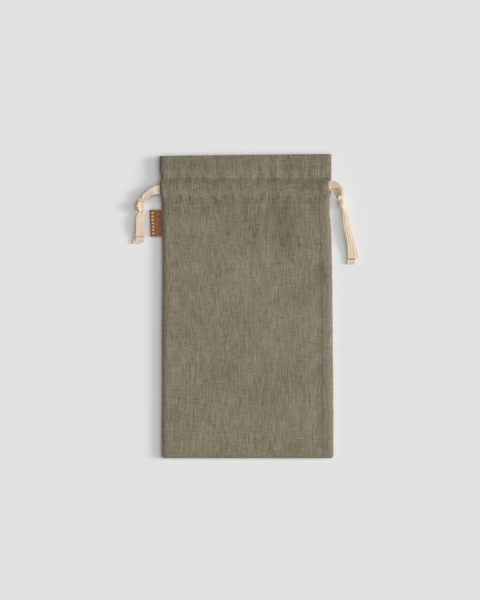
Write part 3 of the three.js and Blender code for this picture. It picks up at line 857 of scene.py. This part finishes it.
# Columns at a side: the distance from the edge and the layer, 0 for the outer cloth and 1 for the allowance
TURNED_IN = [(distance, 1) for distance in (ALLOWANCE, 9.6, 7.2, 5.2, 3.4, 1.8, 0.9)]
TURN = [(0.42, 0.92), (0.22, 0.7), (0.18, 0.5), (0.22, 0.3), (0.42, 0.08)]
OUTER = [(distance, 0) for distance in (0.8, 1.5, 2.4, 3.5, 4.8, 6.2, 7.6, 9, 10.2, 11.3, 12.4, 13.5, 14.8)]
NEAR_EDGE = TURNED_IN + TURN + OUTER
# Where the even columns between start, and about how wide they lie
BETWEEN_FROM = 16.2
BETWEEN_WIDTH = 170
# Rows at the bottom seam, where those of the body start and end, and where those of the top start
BOTTOM_ROWS = [BOTTOM, -174.3, -173.9, -173.2, -172.3]
BODY_ROWS = (-171.2, 94)
TOP_ROWS_FROM = 95.2
# The last row of the cloth before it turns over the mouth, and the turns there in degrees
BEFORE_TURN = MOUTH - 1.6
MOUTH_TURNS = (0, 22, 45, 67, 90, 113, 135, 158, 180)
# How much further apart the hem's rows are than the top's
HEM_STEP = 1.4
# The steps of the front's and the back's grid: across, along the body and along the top
FRONT_STEPS = (1.6, 2.2, 1.1)
BACK_STEPS = (3.0, 4.0, 1.8)
# Between two layers, from layer to layer in the hem, and how much lower an inner one turns at the mouth
LAYER_GAP = 0.1
HEM_LAYER_STEP = 0.4
TURN_LAYER_DROP = 0.3
# On the flat cut: half its width, half that of the even columns, and degrees of the mouth's turn to 1 mm
FLAT_HALF = 98
FLAT_BETWEEN = 86
FLAT_TURN = 60


def front_skin(x, y):
    return front_outer(x, y) + front_relief(x, y)


class PanelShape:
    """The grid of one panel: columns across it, and rows up the outside, over the mouth and down the hem."""

    def __init__(self, front, cloth, step_across, step_body, step_top):
        self.front = front
        self.cloth = cloth
        across = spaced(0, 1, step_across / BETWEEN_WIDTH)
        self.columns = [("left", *c) for c in NEAR_EDGE]
        self.columns += [("between", t, 0) for t in across]
        self.columns += [("right", *c) for c in reversed(NEAR_EDGE)]
        outside = BOTTOM_ROWS + spaced(*BODY_ROWS, step_body) + spaced(TOP_ROWS_FROM, BEFORE_TURN, step_top)
        self.rows = [("outside", y) for y in outside]
        self.rows += [("mouth", turn) for turn in MOUTH_TURNS]
        self.rows += [("hem", y) for y in spaced(BEFORE_TURN, HEM_END, step_top * HEM_STEP)]

    def column(self, i, y, inset):
        side, value, layer = self.columns[i]
        if side == "left":
            return left_edge(y) + inset + value, layer
        if side == "right":
            return right_edge(y) - inset - value, layer
        return mix(left_edge(y) + inset + BETWEEN_FROM, right_edge(y) - inset - BETWEEN_FROM, value), layer

    def surface(self, x, y, depth):
        if self.front:
            return front_skin(x, y) - depth * front_share(x, y)
        return back_outer(x, y) + depth * back_share(x, y)

    def place(self, i, j):
        kind, value = self.rows[j]
        half = self.cloth / 2
        layer_step = self.cloth + LAYER_GAP
        turn = math.radians(value) if kind == "mouth" else 0
        y = value
        inset = 0.0
        if kind == "mouth":
            y = MOUTH
        elif kind == "hem":
            inset = SLIT_DEPTH * smooth((y - LOWER_STITCHES) / STITCH_GROOVE)
            inset *= smooth((UPPER_STITCHES - y) / STITCH_GROOVE)
        x, layer = self.column(i, y, inset)
        wall = look_up(WALLS, 2, y)
        near = half + layer * layer_step
        far = wall - half - layer * min(layer_step, HEM_LAYER_STEP)
        if kind == "mouth":
            radius = (far - near) / 2
            y = MOUTH - radius - layer * TURN_LAYER_DROP + radius * math.sin(turn) - half
            depth = (near + far) / 2 - radius * math.cos(turn)
        else:
            depth = near if kind == "outside" else far
        return x, y - mouth_drop(x, y), self.surface(x, y, depth)

    def lay(self, i, j):
        side, value, layer = self.columns[i]
        kind, along = self.rows[j]
        out = value if layer < 0.5 else -value
        between = mix(-FLAT_BETWEEN, FLAT_BETWEEN, value)
        u = {"left": out - FLAT_HALF, "between": between, "right": FLAT_HALF - out}
        v = {"outside": along, "mouth": MOUTH - 1 + along / FLAT_TURN, "hem": 2 * (MOUTH + 1) - along}
        return u[side], v[kind]

    def mesh(self, name):
        piece = woven_grid(name, len(self.columns), len(self.rows), self.place, self.lay)
        return thicken(piece, self.cloth)


class POUCH_OT_front_panel(bpy.types.Operator):
    """The upper cloth with its gathered heading, its casing and its folds"""

    bl_idname = "pouch.front_panel"
    bl_label = "Front panel"

    def execute(self, context):
        linen = context.scene.pouch_linen
        shape = PanelShape(True, linen.thickness / MM, *FRONT_STEPS)
        piece = shape.mesh("front_cloth")
        finish_piece(piece, linen_material(linen), "linen", "front_panel")
        return {"FINISHED"}


class POUCH_OT_back_panel(bpy.types.Operator):
    """The lower cloth, flat on the table, with its own hem and casing"""

    bl_idname = "pouch.back_panel"
    bl_label = "Back panel"

    def execute(self, context):
        linen = context.scene.pouch_linen
        shape = PanelShape(False, linen.thickness / MM, *BACK_STEPS)
        piece = shape.mesh("back_cloth")
        finish_piece(piece, bpy.data.materials["linen"], "linen", "back_panel")
        return {"FINISHED"}


# Stitching

# How thin and how low a stitch is at its ends, as shares of the thread's thickness
STITCH_TIP = 0.55
STITCH_DIP = 0.6
# How far a stitch lies off its line, and how deep and how high it may lie in the cloth
STITCH_WANDER = 0.05
STITCH_RAISED = (-0.36, 0.06)
# The share of the pitch from the middle of a stitch to where its slope is taken
STITCH_REACH = 0.3
# How far each line of thread is pulled into the cloth, and how far from the edges the casing lines end
PULLED_IN = {LOWER_THREAD: 0.3, UPPER_THREAD: 0.05}
SLIT_PULLED_IN = 0.1
LINE_ENDS = 1.6
# How far the thread stands off the front and the back
FRONT_STANDS = 0.18
BACK_STANDS = -0.14


def stitch_master(stitch):
    """One stitch along X: a short thread that dips at both ends."""
    deselect()
    bpy.ops.mesh.primitive_cylinder_add(
        vertices=8, radius=stitch.thick / 2, depth=stitch.length, rotation=(0, math.pi / 2, 0)
    )
    master = bpy.context.object
    bpy.ops.object.transform_apply(location=False, rotation=True, scale=False)
    bpy.ops.object.mode_set(mode="EDIT")
    bpy.ops.mesh.select_all(action="SELECT")
    shape = bmesh.from_edit_mesh(master.data)
    lengthwise = [e for e in shape.edges if abs(e.verts[0].co.x - e.verts[1].co.x) > stitch.length * 0.5]
    bmesh.ops.subdivide_edges(shape, edges=lengthwise, cuts=3)
    for vertex in shape.verts:
        away = abs(vertex.co.x) / (stitch.length / 2)
        taper = mix(1, STITCH_TIP, away**4)
        vertex.co.z = vertex.co.z * taper - stitch.thick * STITCH_DIP * away**3
        vertex.co.y *= taper
    bmesh.update_edit_mesh(master.data)
    bpy.ops.object.mode_set(mode="OBJECT")
    return master


def seam_places(start, end, height, stands, up):
    """Stitches from start to end, each on a surface that faces up, for 1, or down, for -1."""
    stitch = bpy.context.scene.pouch_stitch
    pitch = stitch.pitch / MM
    start, end = Vector(start), Vector(end)
    count = int((end - start).length / pitch)
    ahead = (end - start).normalized()
    places = []
    for n in range(count):
        middle = start + ahead * (n + 0.5) * pitch
        nose = middle + ahead * pitch * STITCH_REACH
        tail = middle - ahead * pitch * STITCH_REACH
        low, high = height(tail.x, tail.y), height(nose.x, nose.y)
        along = Vector((*(nose - tail), high - low)).normalized()
        above = Vector((0, 0, up))
        aside = above.cross(along).normalized()
        above = along.cross(aside)
        z = height(middle.x, middle.y) + up * stands
        shift = random.uniform(-STITCH_WANDER, STITCH_WANDER)
        raised = random.uniform(*STITCH_RAISED) * up
        point = Vector((middle.x, middle.y + shift, z + raised)) * MM
        places.append((point, along, aside, above))
    return places


def pouch_seams(height, stands, up):
    """Both casing lines and the boxed stitching of the slits."""
    places = []
    for y, pulled_in in PULLED_IN.items():
        start, end = (left_edge(y) + LINE_ENDS, y), (right_edge(y) - LINE_ENDS, y)
        places += seam_places(start, end, height, stands - pulled_in, up)
    for x in SLIT_STITCHES:
        places += seam_places((x, LOWER_THREAD), (x, UPPER_THREAD), height, stands - SLIT_PULLED_IN, up)
    return places


class POUCH_OT_stitching(bpy.types.Operator):
    """The thread of the casing lines and of the slits, front and back"""

    bl_idname = "pouch.stitching"
    bl_label = "Stitching"

    def execute(self, context):
        random.seed(5)
        stitch = context.scene.pouch_stitch
        thread = thread_material("linen_thread", context.scene.pouch_linen.thread)
        front = strew("front_stitching", stitch_master(stitch), pouch_seams(front_skin, FRONT_STANDS, 1))
        finish_piece(front, thread, "linen")
        back = strew("back_stitching", stitch_master(stitch), pouch_seams(back_outer, BACK_STANDS, -1))
        finish_piece(back, thread, "linen")
        return {"FINISHED"}


# Tapes

# How far the tapes ease from their slits to their lanes in the casing
EASE_IN = 16
# Rows of a tape by their distance from the edge: at its slit, and from there to its lane
SLIT_ROWS = (6.2, 3.4, 0.6)
CASING_ROWS = (6.6, 9, 12.5, EASE_IN)
# How far from its own slit and from the far one the rows of the lane end, and their step
LANE_ENDS = (20, 18)
LANE_STEP = 4
# Rows from the lane to the far slit, over how far they ease, and how much the front one sinks there
FAR_ROWS = (EASE_IN, 12.5, 9, 6, 4.2)
FAR_EASE = 12
FAR_DROP = 0.15
# Rows of the turn round the hem ends, by their distance from the edge: the first lies under the middle of
# the front's tunnel, taken this far in, the last over the back's, and the others at shares of the way up
FAR_TURN = (2.3, 1.4, 1.4, 2.3)
FAR_HEIGHT_AT = 2.5
FAR_UNDER = 0.35
FAR_OVER = 0.15
FAR_SHARES = (0.62, 0.32)
# How far apart the rows are made of a tape in its casing, and of a tie
CASING_STEP = 2.0
TIE_STEP = 1.0
# The radius of a hem's bend, how far under the tape its end lies at the fold and at its edge, and its width
HEM_BEND = 0.45
HEM_UNDER = (0.9, 0.75)
HEM_WIDTH = 0.98
# Stitches across a hem: how many, how many rows from the end, how far over the upper and the lower tape,
# the share of the width that they take, and how much longer than others they are
HEM_STITCHES = 5
HEM_ROW = 6
HEM_OVER = {"upper": 0.22, "lower": 0.1}
HEM_SHARE = 0.96
HEM_STITCH = 1.5
TAPE_COLUMNS = 25
# How far the pleats sway and the edges curl, each with its length along the tape, and how high a roll stands
PLEAT_SWAY = (0.5, 7)
EDGE_CURL = (0.20, 9)
ROLL_HEIGHT = 0.62
# How much a place's distance along a knot counts for where the wrap faces there
KNOT_LENGTHWAYS = 0.35


def widthways(turn, tilt):
    turn, tilt = math.radians(turn), math.radians(tilt)
    level = math.cos(tilt)
    return Vector((-math.sin(turn) * level, math.cos(turn) * level, math.sin(tilt)))


def tape_rows(table):
    """Rows of a tape as (middle, width, direction of the width, roll)."""
    return [(Vector(row[:3]), row[3], widthways(row[4], row[5]), row[6]) for row in table]


def knot_rows(knot):
    """The wrap of a knot, each row's width lying flat about the knot's middle."""
    turn = math.radians(knot["turn"])
    size = knot["length"] / WRAP_LENGTH
    middle = Vector((knot["x"], knot["y"], knot["z"]))
    points = []
    for right, along, up, width, roll in WRAP:
        right *= knot["mirror"] * size
        along *= size
        x = right * math.cos(turn) - along * math.sin(turn)
        y = right * math.sin(turn) + along * math.cos(turn)
        points.append((Vector((x, y, up * size)), width * size, roll))
    rows = []
    for n, (point, width, roll) in enumerate(points):
        before = points[max(n - 1, 0)][0]
        after = points[min(n + 1, len(points) - 1)][0]
        ahead = (after - before).normalized()
        out = Vector((point.x, point.y * KNOT_LENGTHWAYS, point.z))
        out = (out - ahead * out.dot(ahead)).normalized()
        rows.append((middle + point, width, out.cross(ahead).normalized(), roll))
    return rows


def catmull(a, b, c, d, t):
    bend = 2 * a - 5 * b + 4 * c - d
    twist = 3 * b - a - 3 * c + d
    return 0.5 * ((2 * b) + (c - a) * t + bend * t**2 + twist * t**3)


def eased(rows, step):
    """More rows on a smooth curve through the given ones, about step apart."""
    steady = [rows[0]]
    for middle, width, side, roll in rows[1:]:
        steady.append((middle, width, side if side.dot(steady[-1][2]) >= 0 else -side, roll))
    out = []
    last = len(steady) - 1
    for n in range(last):
        four = [steady[clamp(n + k, 0, last)] for k in (-1, 0, 1, 2)]
        pieces = max(2, round((four[2][0] - four[1][0]).length / step))
        for p in range(pieces + (n == last - 1)):
            t = p / pieces
            middle, width, side, roll = (catmull(*[row[k] for row in four], t) for k in range(4))
            out.append((middle, width, side.normalized(), clamp(roll)))
    return out


def folded_end(rows):
    """The hem of a tape: its end turned under, with a small bend."""
    (before, _, _, _), (end, width, side, roll) = rows[-2:]
    ahead = (end - before).normalized()
    under = Vector((0, 0, -1))
    fold = []
    for turn in (45, 90, 135, 180):
        angle = math.radians(turn)
        point = end + ahead * HEM_BEND * math.sin(angle) + under * HEM_BEND * (1 - math.cos(angle))
        fold.append((point, width, side, roll))
    count = round(HEM_FOLD)
    for n in range(1, count + 1):
        source = rows[max(0, len(rows) - 1 - n)]
        fold.append((source[0] + under * mix(*HEM_UNDER, n / count), width * HEM_WIDTH, source[2], roll))
    return rows + fold


def roll_angle(share):
    """Half the angle of an arc whose chord is this share of its length."""
    low, high = 0.01, 3.0
    for _ in range(24):
        middle = (low + high) / 2
        if math.sin(middle) / middle > share:
            low = middle
        else:
            high = middle
    return low


def tape_mesh(name, tape, rows, thickness, phase=0.0):
    """A tape through the rows: where it is narrower than it was woven, it lies in pleats or rolls under."""
    pleats, depth = tape["pleats"], tape["depth"]
    sway, sway_length = PLEAT_SWAY
    curl, curl_length = EDGE_CURL
    lengths = [0.0]
    for a, b in zip(rows, rows[1:]):
        lengths.append(lengths[-1] + (b[0] - a[0]).length)
    frames = []
    for j, (middle, width, side, roll) in enumerate(rows):
        ahead = (rows[min(j + 1, len(rows) - 1)][0] - rows[max(j - 1, 0)][0]).normalized()
        side = (side - ahead * side.dot(ahead)).normalized()
        share = clamp(width / TAPE_WIDTH, 0.3, 0.999)
        frames.append((middle, width, side, ahead.cross(side), roll, roll_angle(share)))

    def place(i, j):
        middle, width, side, above, roll, angle = frames[j]
        q = i / (TAPE_COLUMNS - 1) - 0.5
        narrowed = math.sqrt(max(0.0, (TAPE_WIDTH / width) ** 2 - 1))
        ripple = narrowed**1.5 * width / (4 * pleats) * depth
        swayed = sway * math.sin(lengths[j] / sway_length + phase * 9)
        wave = math.cos(2 * math.pi * (pleats * q + phase) + swayed)
        curled = curl * math.sin(lengths[j] / curl_length + phase * 5) * (q * q * 4)
        radius = width / (2 * math.sin(min(angle, math.pi / 2)))
        arc = 2 * angle * q
        across = mix(q * width, radius * math.sin(arc), roll)
        rolled = radius * (math.cos(arc) - math.cos(angle * 0.5)) * ROLL_HEIGHT
        up = mix(ripple * wave + curled, rolled, roll)
        return middle + side * across + above * up

    def lay(i, j):
        return (i / (TAPE_COLUMNS - 1) - 0.5) * TAPE_WIDTH, lengths[j]

    piece = woven_grid(name, TAPE_COLUMNS, len(rows), place, lay)
    return thicken(piece, thickness, 60)


def front_tunnel_middle(x, y):
    return front_inner(x, y) + (HEM_WALL + TUNNEL / 2) * front_share(x, y)


BACK_TUNNEL_MIDDLE = CLOTH_WALL + TUNNEL / 2


def back_tunnel_middle(x, y):
    return BACK_TUNNEL_MIDDLE


def casing_rows(tape):
    """One tape in both casings: in along the front, round the hem ends at the far slit and home behind."""
    lane, turn_y, inward = tape["lane"], tape["turn_back"], -tape["side"]
    home = edge_at(tape["side"], tape["exit"])
    far = edge_at(inward, turn_y)
    across = Vector((0, 1, 0))
    front, back = [], []

    def add(x, y, width, drop=0.0):
        front.append((Vector((x, y, front_tunnel_middle(x, y) - drop)), width, across, 0.0))
        back.insert(0, (Vector((x, y, BACK_TUNNEL_MIDDLE)), width, across, 0.0))

    for distance in CASING_ROWS:
        add(home + inward * distance, mix(tape["exit"], lane, smooth(distance / EASE_IN)), TAPE_WIDTH)
    for x in spaced(home + inward * LANE_ENDS[0], far - inward * LANE_ENDS[1], LANE_STEP):
        add(x, lane, TAPE_WIDTH)
    for distance in FAR_ROWS:
        t = smooth((EASE_IN - distance) / FAR_EASE)
        width = mix(TAPE_WIDTH, tape["turn_width"], t)
        add(far - inward * distance, mix(lane, turn_y, t), width, FAR_DROP * t)
    low = BACK_TUNNEL_MIDDLE
    high = front_tunnel_middle(far - inward * FAR_HEIGHT_AT, turn_y)
    between = [mix(low, high, share) for share in FAR_SHARES]
    heights = (high - FAR_UNDER, *between, low + FAR_OVER)
    bend = []
    for distance, z in zip(FAR_TURN, heights):
        bend.append((Vector((far - inward * distance, turn_y, z)), tape["turn_width"], across, 0.0))
    return front + bend + back


def slit_rows(tape, height, sunk=0.0):
    """The start of a lead, from inside the slit to its mouth, where it lies sunk under the cloth's edge."""
    home = edge_at(tape["side"], tape["exit"])
    rows = []
    for distance in SLIT_ROWS:
        x = home - tape["side"] * distance
        y = mix(tape["exit"], tape["lane"], smooth(distance / EASE_IN))
        z = height(x, y) - sunk * smooth(1 - distance / SLIT_ROWS[0])
        rows.append((Vector((x, y, z)), tape["slit_width"], Vector((0, 1, 0)), 0.0))
    return rows


def tie(name, tape, rows, thickness, material, node, phase):
    rows = eased(rows, TIE_STEP)
    piece = tape_mesh(name, tape, folded_end(rows), thickness, phase)
    finish_piece(piece, material, "cotton_tape", node)
    return rows


def tape_hem_places(rows, over, wider):
    """Stitches across a tape near its end, on its upper face."""
    middle, width, side, _ = rows[-1 - HEM_ROW]
    ahead = (rows[-HEM_ROW][0] - rows[-HEM_ROW - 2][0]).normalized()
    above = Vector((0, 0, 1))
    places = []
    for n in range(HEM_STITCHES):
        q = (n + 0.5) / HEM_STITCHES - 0.5
        point = middle + side * (q * width * HEM_SHARE) + above * over
        places.append((point * MM, side.normalized() * HEM_STITCH, ahead * wider, above))
    return places


# Each drawstring: its tape, its knot, and the lead and the tail of its upper and of its lower tie
LEFT_TIES = (LEFT_UPPER_LEAD, LEFT_UPPER_TAIL, LEFT_LOWER_LEAD, LEFT_LOWER_TAIL)
RIGHT_TIES = (RIGHT_UPPER_LEAD, RIGHT_UPPER_TAIL, RIGHT_LOWER_LEAD, RIGHT_LOWER_TAIL)
DRAWSTRINGS = {"left": (LEFT_TAPE, LEFT_KNOT, *LEFT_TIES), "right": (RIGHT_TAPE, RIGHT_KNOT, *RIGHT_TIES)}


class POUCH_OT_drawstrings(bpy.types.Operator):
    """Both cotton tapes: in their casings, through the slits, their knots and their hemmed tails"""

    bl_idname = "pouch.drawstrings"
    bl_label = "Drawstrings"

    def execute(self, context):
        settings = context.scene.pouch_tape
        thickness = settings.thickness / MM
        material = tape_material(settings)
        stitches = []
        for side, (tape, knot, upper_lead, upper_tail, lower_lead, lower_tail) in DRAWSTRINGS.items():
            node = "drawstring_" + side
            rows = eased(casing_rows(tape), CASING_STEP)
            inside = tape_mesh("tape_in_casing_" + side, tape, rows, thickness)
            finish_piece(inside, material, "cotton_tape", node)
            upper = slit_rows(tape, front_tunnel_middle, tape["sunk"]) + tape_rows(upper_lead)
            upper += knot_rows(knot) + tape_rows(upper_tail)
            rows = tie("upper_tie_" + side, tape, upper, thickness, material, node, 0.0)
            stitches += tape_hem_places(rows, thickness / 2 + HEM_OVER["upper"], tape["hem_mark"])
            lower = slit_rows(tape, back_tunnel_middle) + tape_rows(lower_lead) + tape_rows(lower_tail)
            rows = tie("lower_tie_" + side, tape, lower, thickness, material, node, 0.3)
            if side == "left":
                stitches += tape_hem_places(rows, thickness / 2 + HEM_OVER["lower"], tape["hem_mark"])
        master = stitch_master(context.scene.pouch_stitch)
        thread = thread_material("tape_thread", settings.thread)
        finish_piece(strew("tape_hem_stitching", master, stitches), thread, "cotton_tape")
        return {"FINISHED"}


# Label

# How far the label's tip lies below its seam, and its root inside the edge
TIP_DROP = 1.3
ROOT_IN = 0.1
# Rows of a layer from the seam to the fold, how far in the fold starts, how far it stands out, and its steps
LAYER_ROWS = (0, 0.15, 0.3, 0.45, 0.6, 0.75, 0.88)
FOLD_IN = 0.9
FOLD_OUT = 0.7
FOLD_TURNS = range(0, 181, 30)
LABEL_COLUMNS = 32
LABEL_WAVE = 0.12
# How far the pattern stands over the middle of the upper layer
PATTERN_OVER = 0.30
# A lozenge before it is stretched: its radius, its thickness and its bevel
LOZENGE_PAD = (1.0 * MM, 0.3 * MM, 0.12 * MM)


def label_middle(t):
    return (BACK_SEAM + FRONT_SEAM) / 2 - TIP_DROP * smooth(t)


class POUCH_OT_side_label(bpy.types.Operator):
    """The folded woven label in the left seam, with a plain pattern of lozenges"""

    bl_idname = "pouch.side_label"
    bl_label = "Side label"

    def execute(self, context):
        settings = context.scene.pouch_label
        lean = math.tan(math.radians(LABEL_LEAN))
        root = left_edge(LABEL_MIDDLE) - ROOT_IN - lean * LABEL_HEIGHT / 2
        tip = root - LABEL_REACH + lean * LABEL_HEIGHT / 2
        fold = tip + FOLD_IN
        rows = [(mix(root, fold, t), label_middle(t) + LABEL_LAYER) for t in LAYER_ROWS]
        for turn in FOLD_TURNS:
            angle = math.radians(turn)
            rows.append((fold - FOLD_OUT * math.sin(angle), label_middle(1) + LABEL_LAYER * math.cos(angle)))
        rows += [(mix(root, fold, t), label_middle(t) - LABEL_LAYER) for t in reversed(LAYER_ROWS)]
        lengths = [0.0]
        for (x0, z0), (x1, z1) in zip(rows, rows[1:]):
            lengths.append(lengths[-1] + math.hypot(x1 - x0, z1 - z0))

        def place(i, j):
            x, z = rows[j]
            q = i / (LABEL_COLUMNS - 1) - 0.5
            wave = LABEL_WAVE * math.sin(q * 9 + 1) * (root - x) / LABEL_REACH
            return x - lean * q * LABEL_HEIGHT, LABEL_MIDDLE + q * LABEL_HEIGHT, z + wave

        def lay(i, j):
            return lengths[j], (i / (LABEL_COLUMNS - 1) - 0.5) * LABEL_HEIGHT

        piece = woven_grid("folded_label", LABEL_COLUMNS, len(rows), place, lay)
        thicken(piece, settings.thickness / MM, 60)
        finish_piece(piece, label_material(settings), "label", "side_label")
        self.pattern(context, tip, lean)
        return {"FINISHED"}

    def pattern(self, context, tip, lean):
        """Lozenges in a column, each a low pad of satin stitch."""
        deselect()
        radius, thickness, bevel = LOZENGE_PAD
        bpy.ops.mesh.primitive_cylinder_add(vertices=4, radius=radius, depth=thickness)
        master = context.object
        bpy.ops.object.mode_set(mode="EDIT")
        bpy.ops.mesh.select_all(action="SELECT")
        bpy.ops.mesh.bevel(offset=bevel, segments=2, affect="EDGES")
        bpy.ops.object.mode_set(mode="OBJECT")
        places = []
        wide, tall = LOZENGE_SIZE
        z = label_middle(1 - LOZENGE_IN / LABEL_REACH) + LABEL_LAYER + PATTERN_OVER
        for n in range(LOZENGES):
            away = (n - (LOZENGES - 1) / 2) * LOZENGE_PITCH
            place = Vector((tip + LOZENGE_IN - lean * away, LABEL_MIDDLE + away, z))
            axes = (Vector((wide, 0, 0)), Vector((0, tall, 0)), Vector((0, 0, 1)))
            places.append((place * MM, *axes))
        motif = strew("label_pattern", master, places)
        finish_piece(motif, thread_material("gold_thread", context.scene.pouch_label.gold), "label")


class POUCH_PT_panel(bpy.types.Panel):
    bl_idname = "POUCH_PT_panel"
    bl_label = "Drawstring pouch"
    bl_space_type = "VIEW_3D"
    bl_region_type = "UI"
    bl_category = "Pouch"

    def draw(self, context):
        for name, group in GROUPS.items():
            box = self.layout.box()
            for value in group.__annotations__:
                box.prop(getattr(context.scene, name), value)
        for operator in OPERATORS:
            self.layout.operator(operator.bl_idname)


GROUPS = {
    "pouch_linen": PouchLinen,
    "pouch_tape": PouchTape,
    "pouch_label": PouchLabel,
    "pouch_stitch": PouchStitch,
    "pouch_stage": PouchStage,
}
OPERATORS = (
    POUCH_OT_stage,
    POUCH_OT_drawstrings,
    POUCH_OT_front_panel,
    POUCH_OT_back_panel,
    POUCH_OT_stitching,
    POUCH_OT_side_label,
)


def register():
    for group in GROUPS.values():
        bpy.utils.register_class(group)
    for operator in OPERATORS:
        bpy.utils.register_class(operator)
    bpy.utils.register_class(POUCH_PT_panel)
    for name, group in GROUPS.items():
        setattr(bpy.types.Scene, name, PointerProperty(type=group))


def unregister():
    for name in GROUPS:
        delattr(bpy.types.Scene, name)
    bpy.utils.unregister_class(POUCH_PT_panel)
    for operator in reversed(OPERATORS):
        bpy.utils.unregister_class(operator)
    for group in GROUPS.values():
        bpy.utils.unregister_class(group)


def main():
    register()
    bpy.ops.pouch.stage()
    bpy.ops.pouch.drawstrings()
    bpy.ops.pouch.front_panel()
    bpy.ops.pouch.back_panel()
    bpy.ops.pouch.stitching()
    bpy.ops.pouch.side_label()


if __name__ == "__main__":
    main()
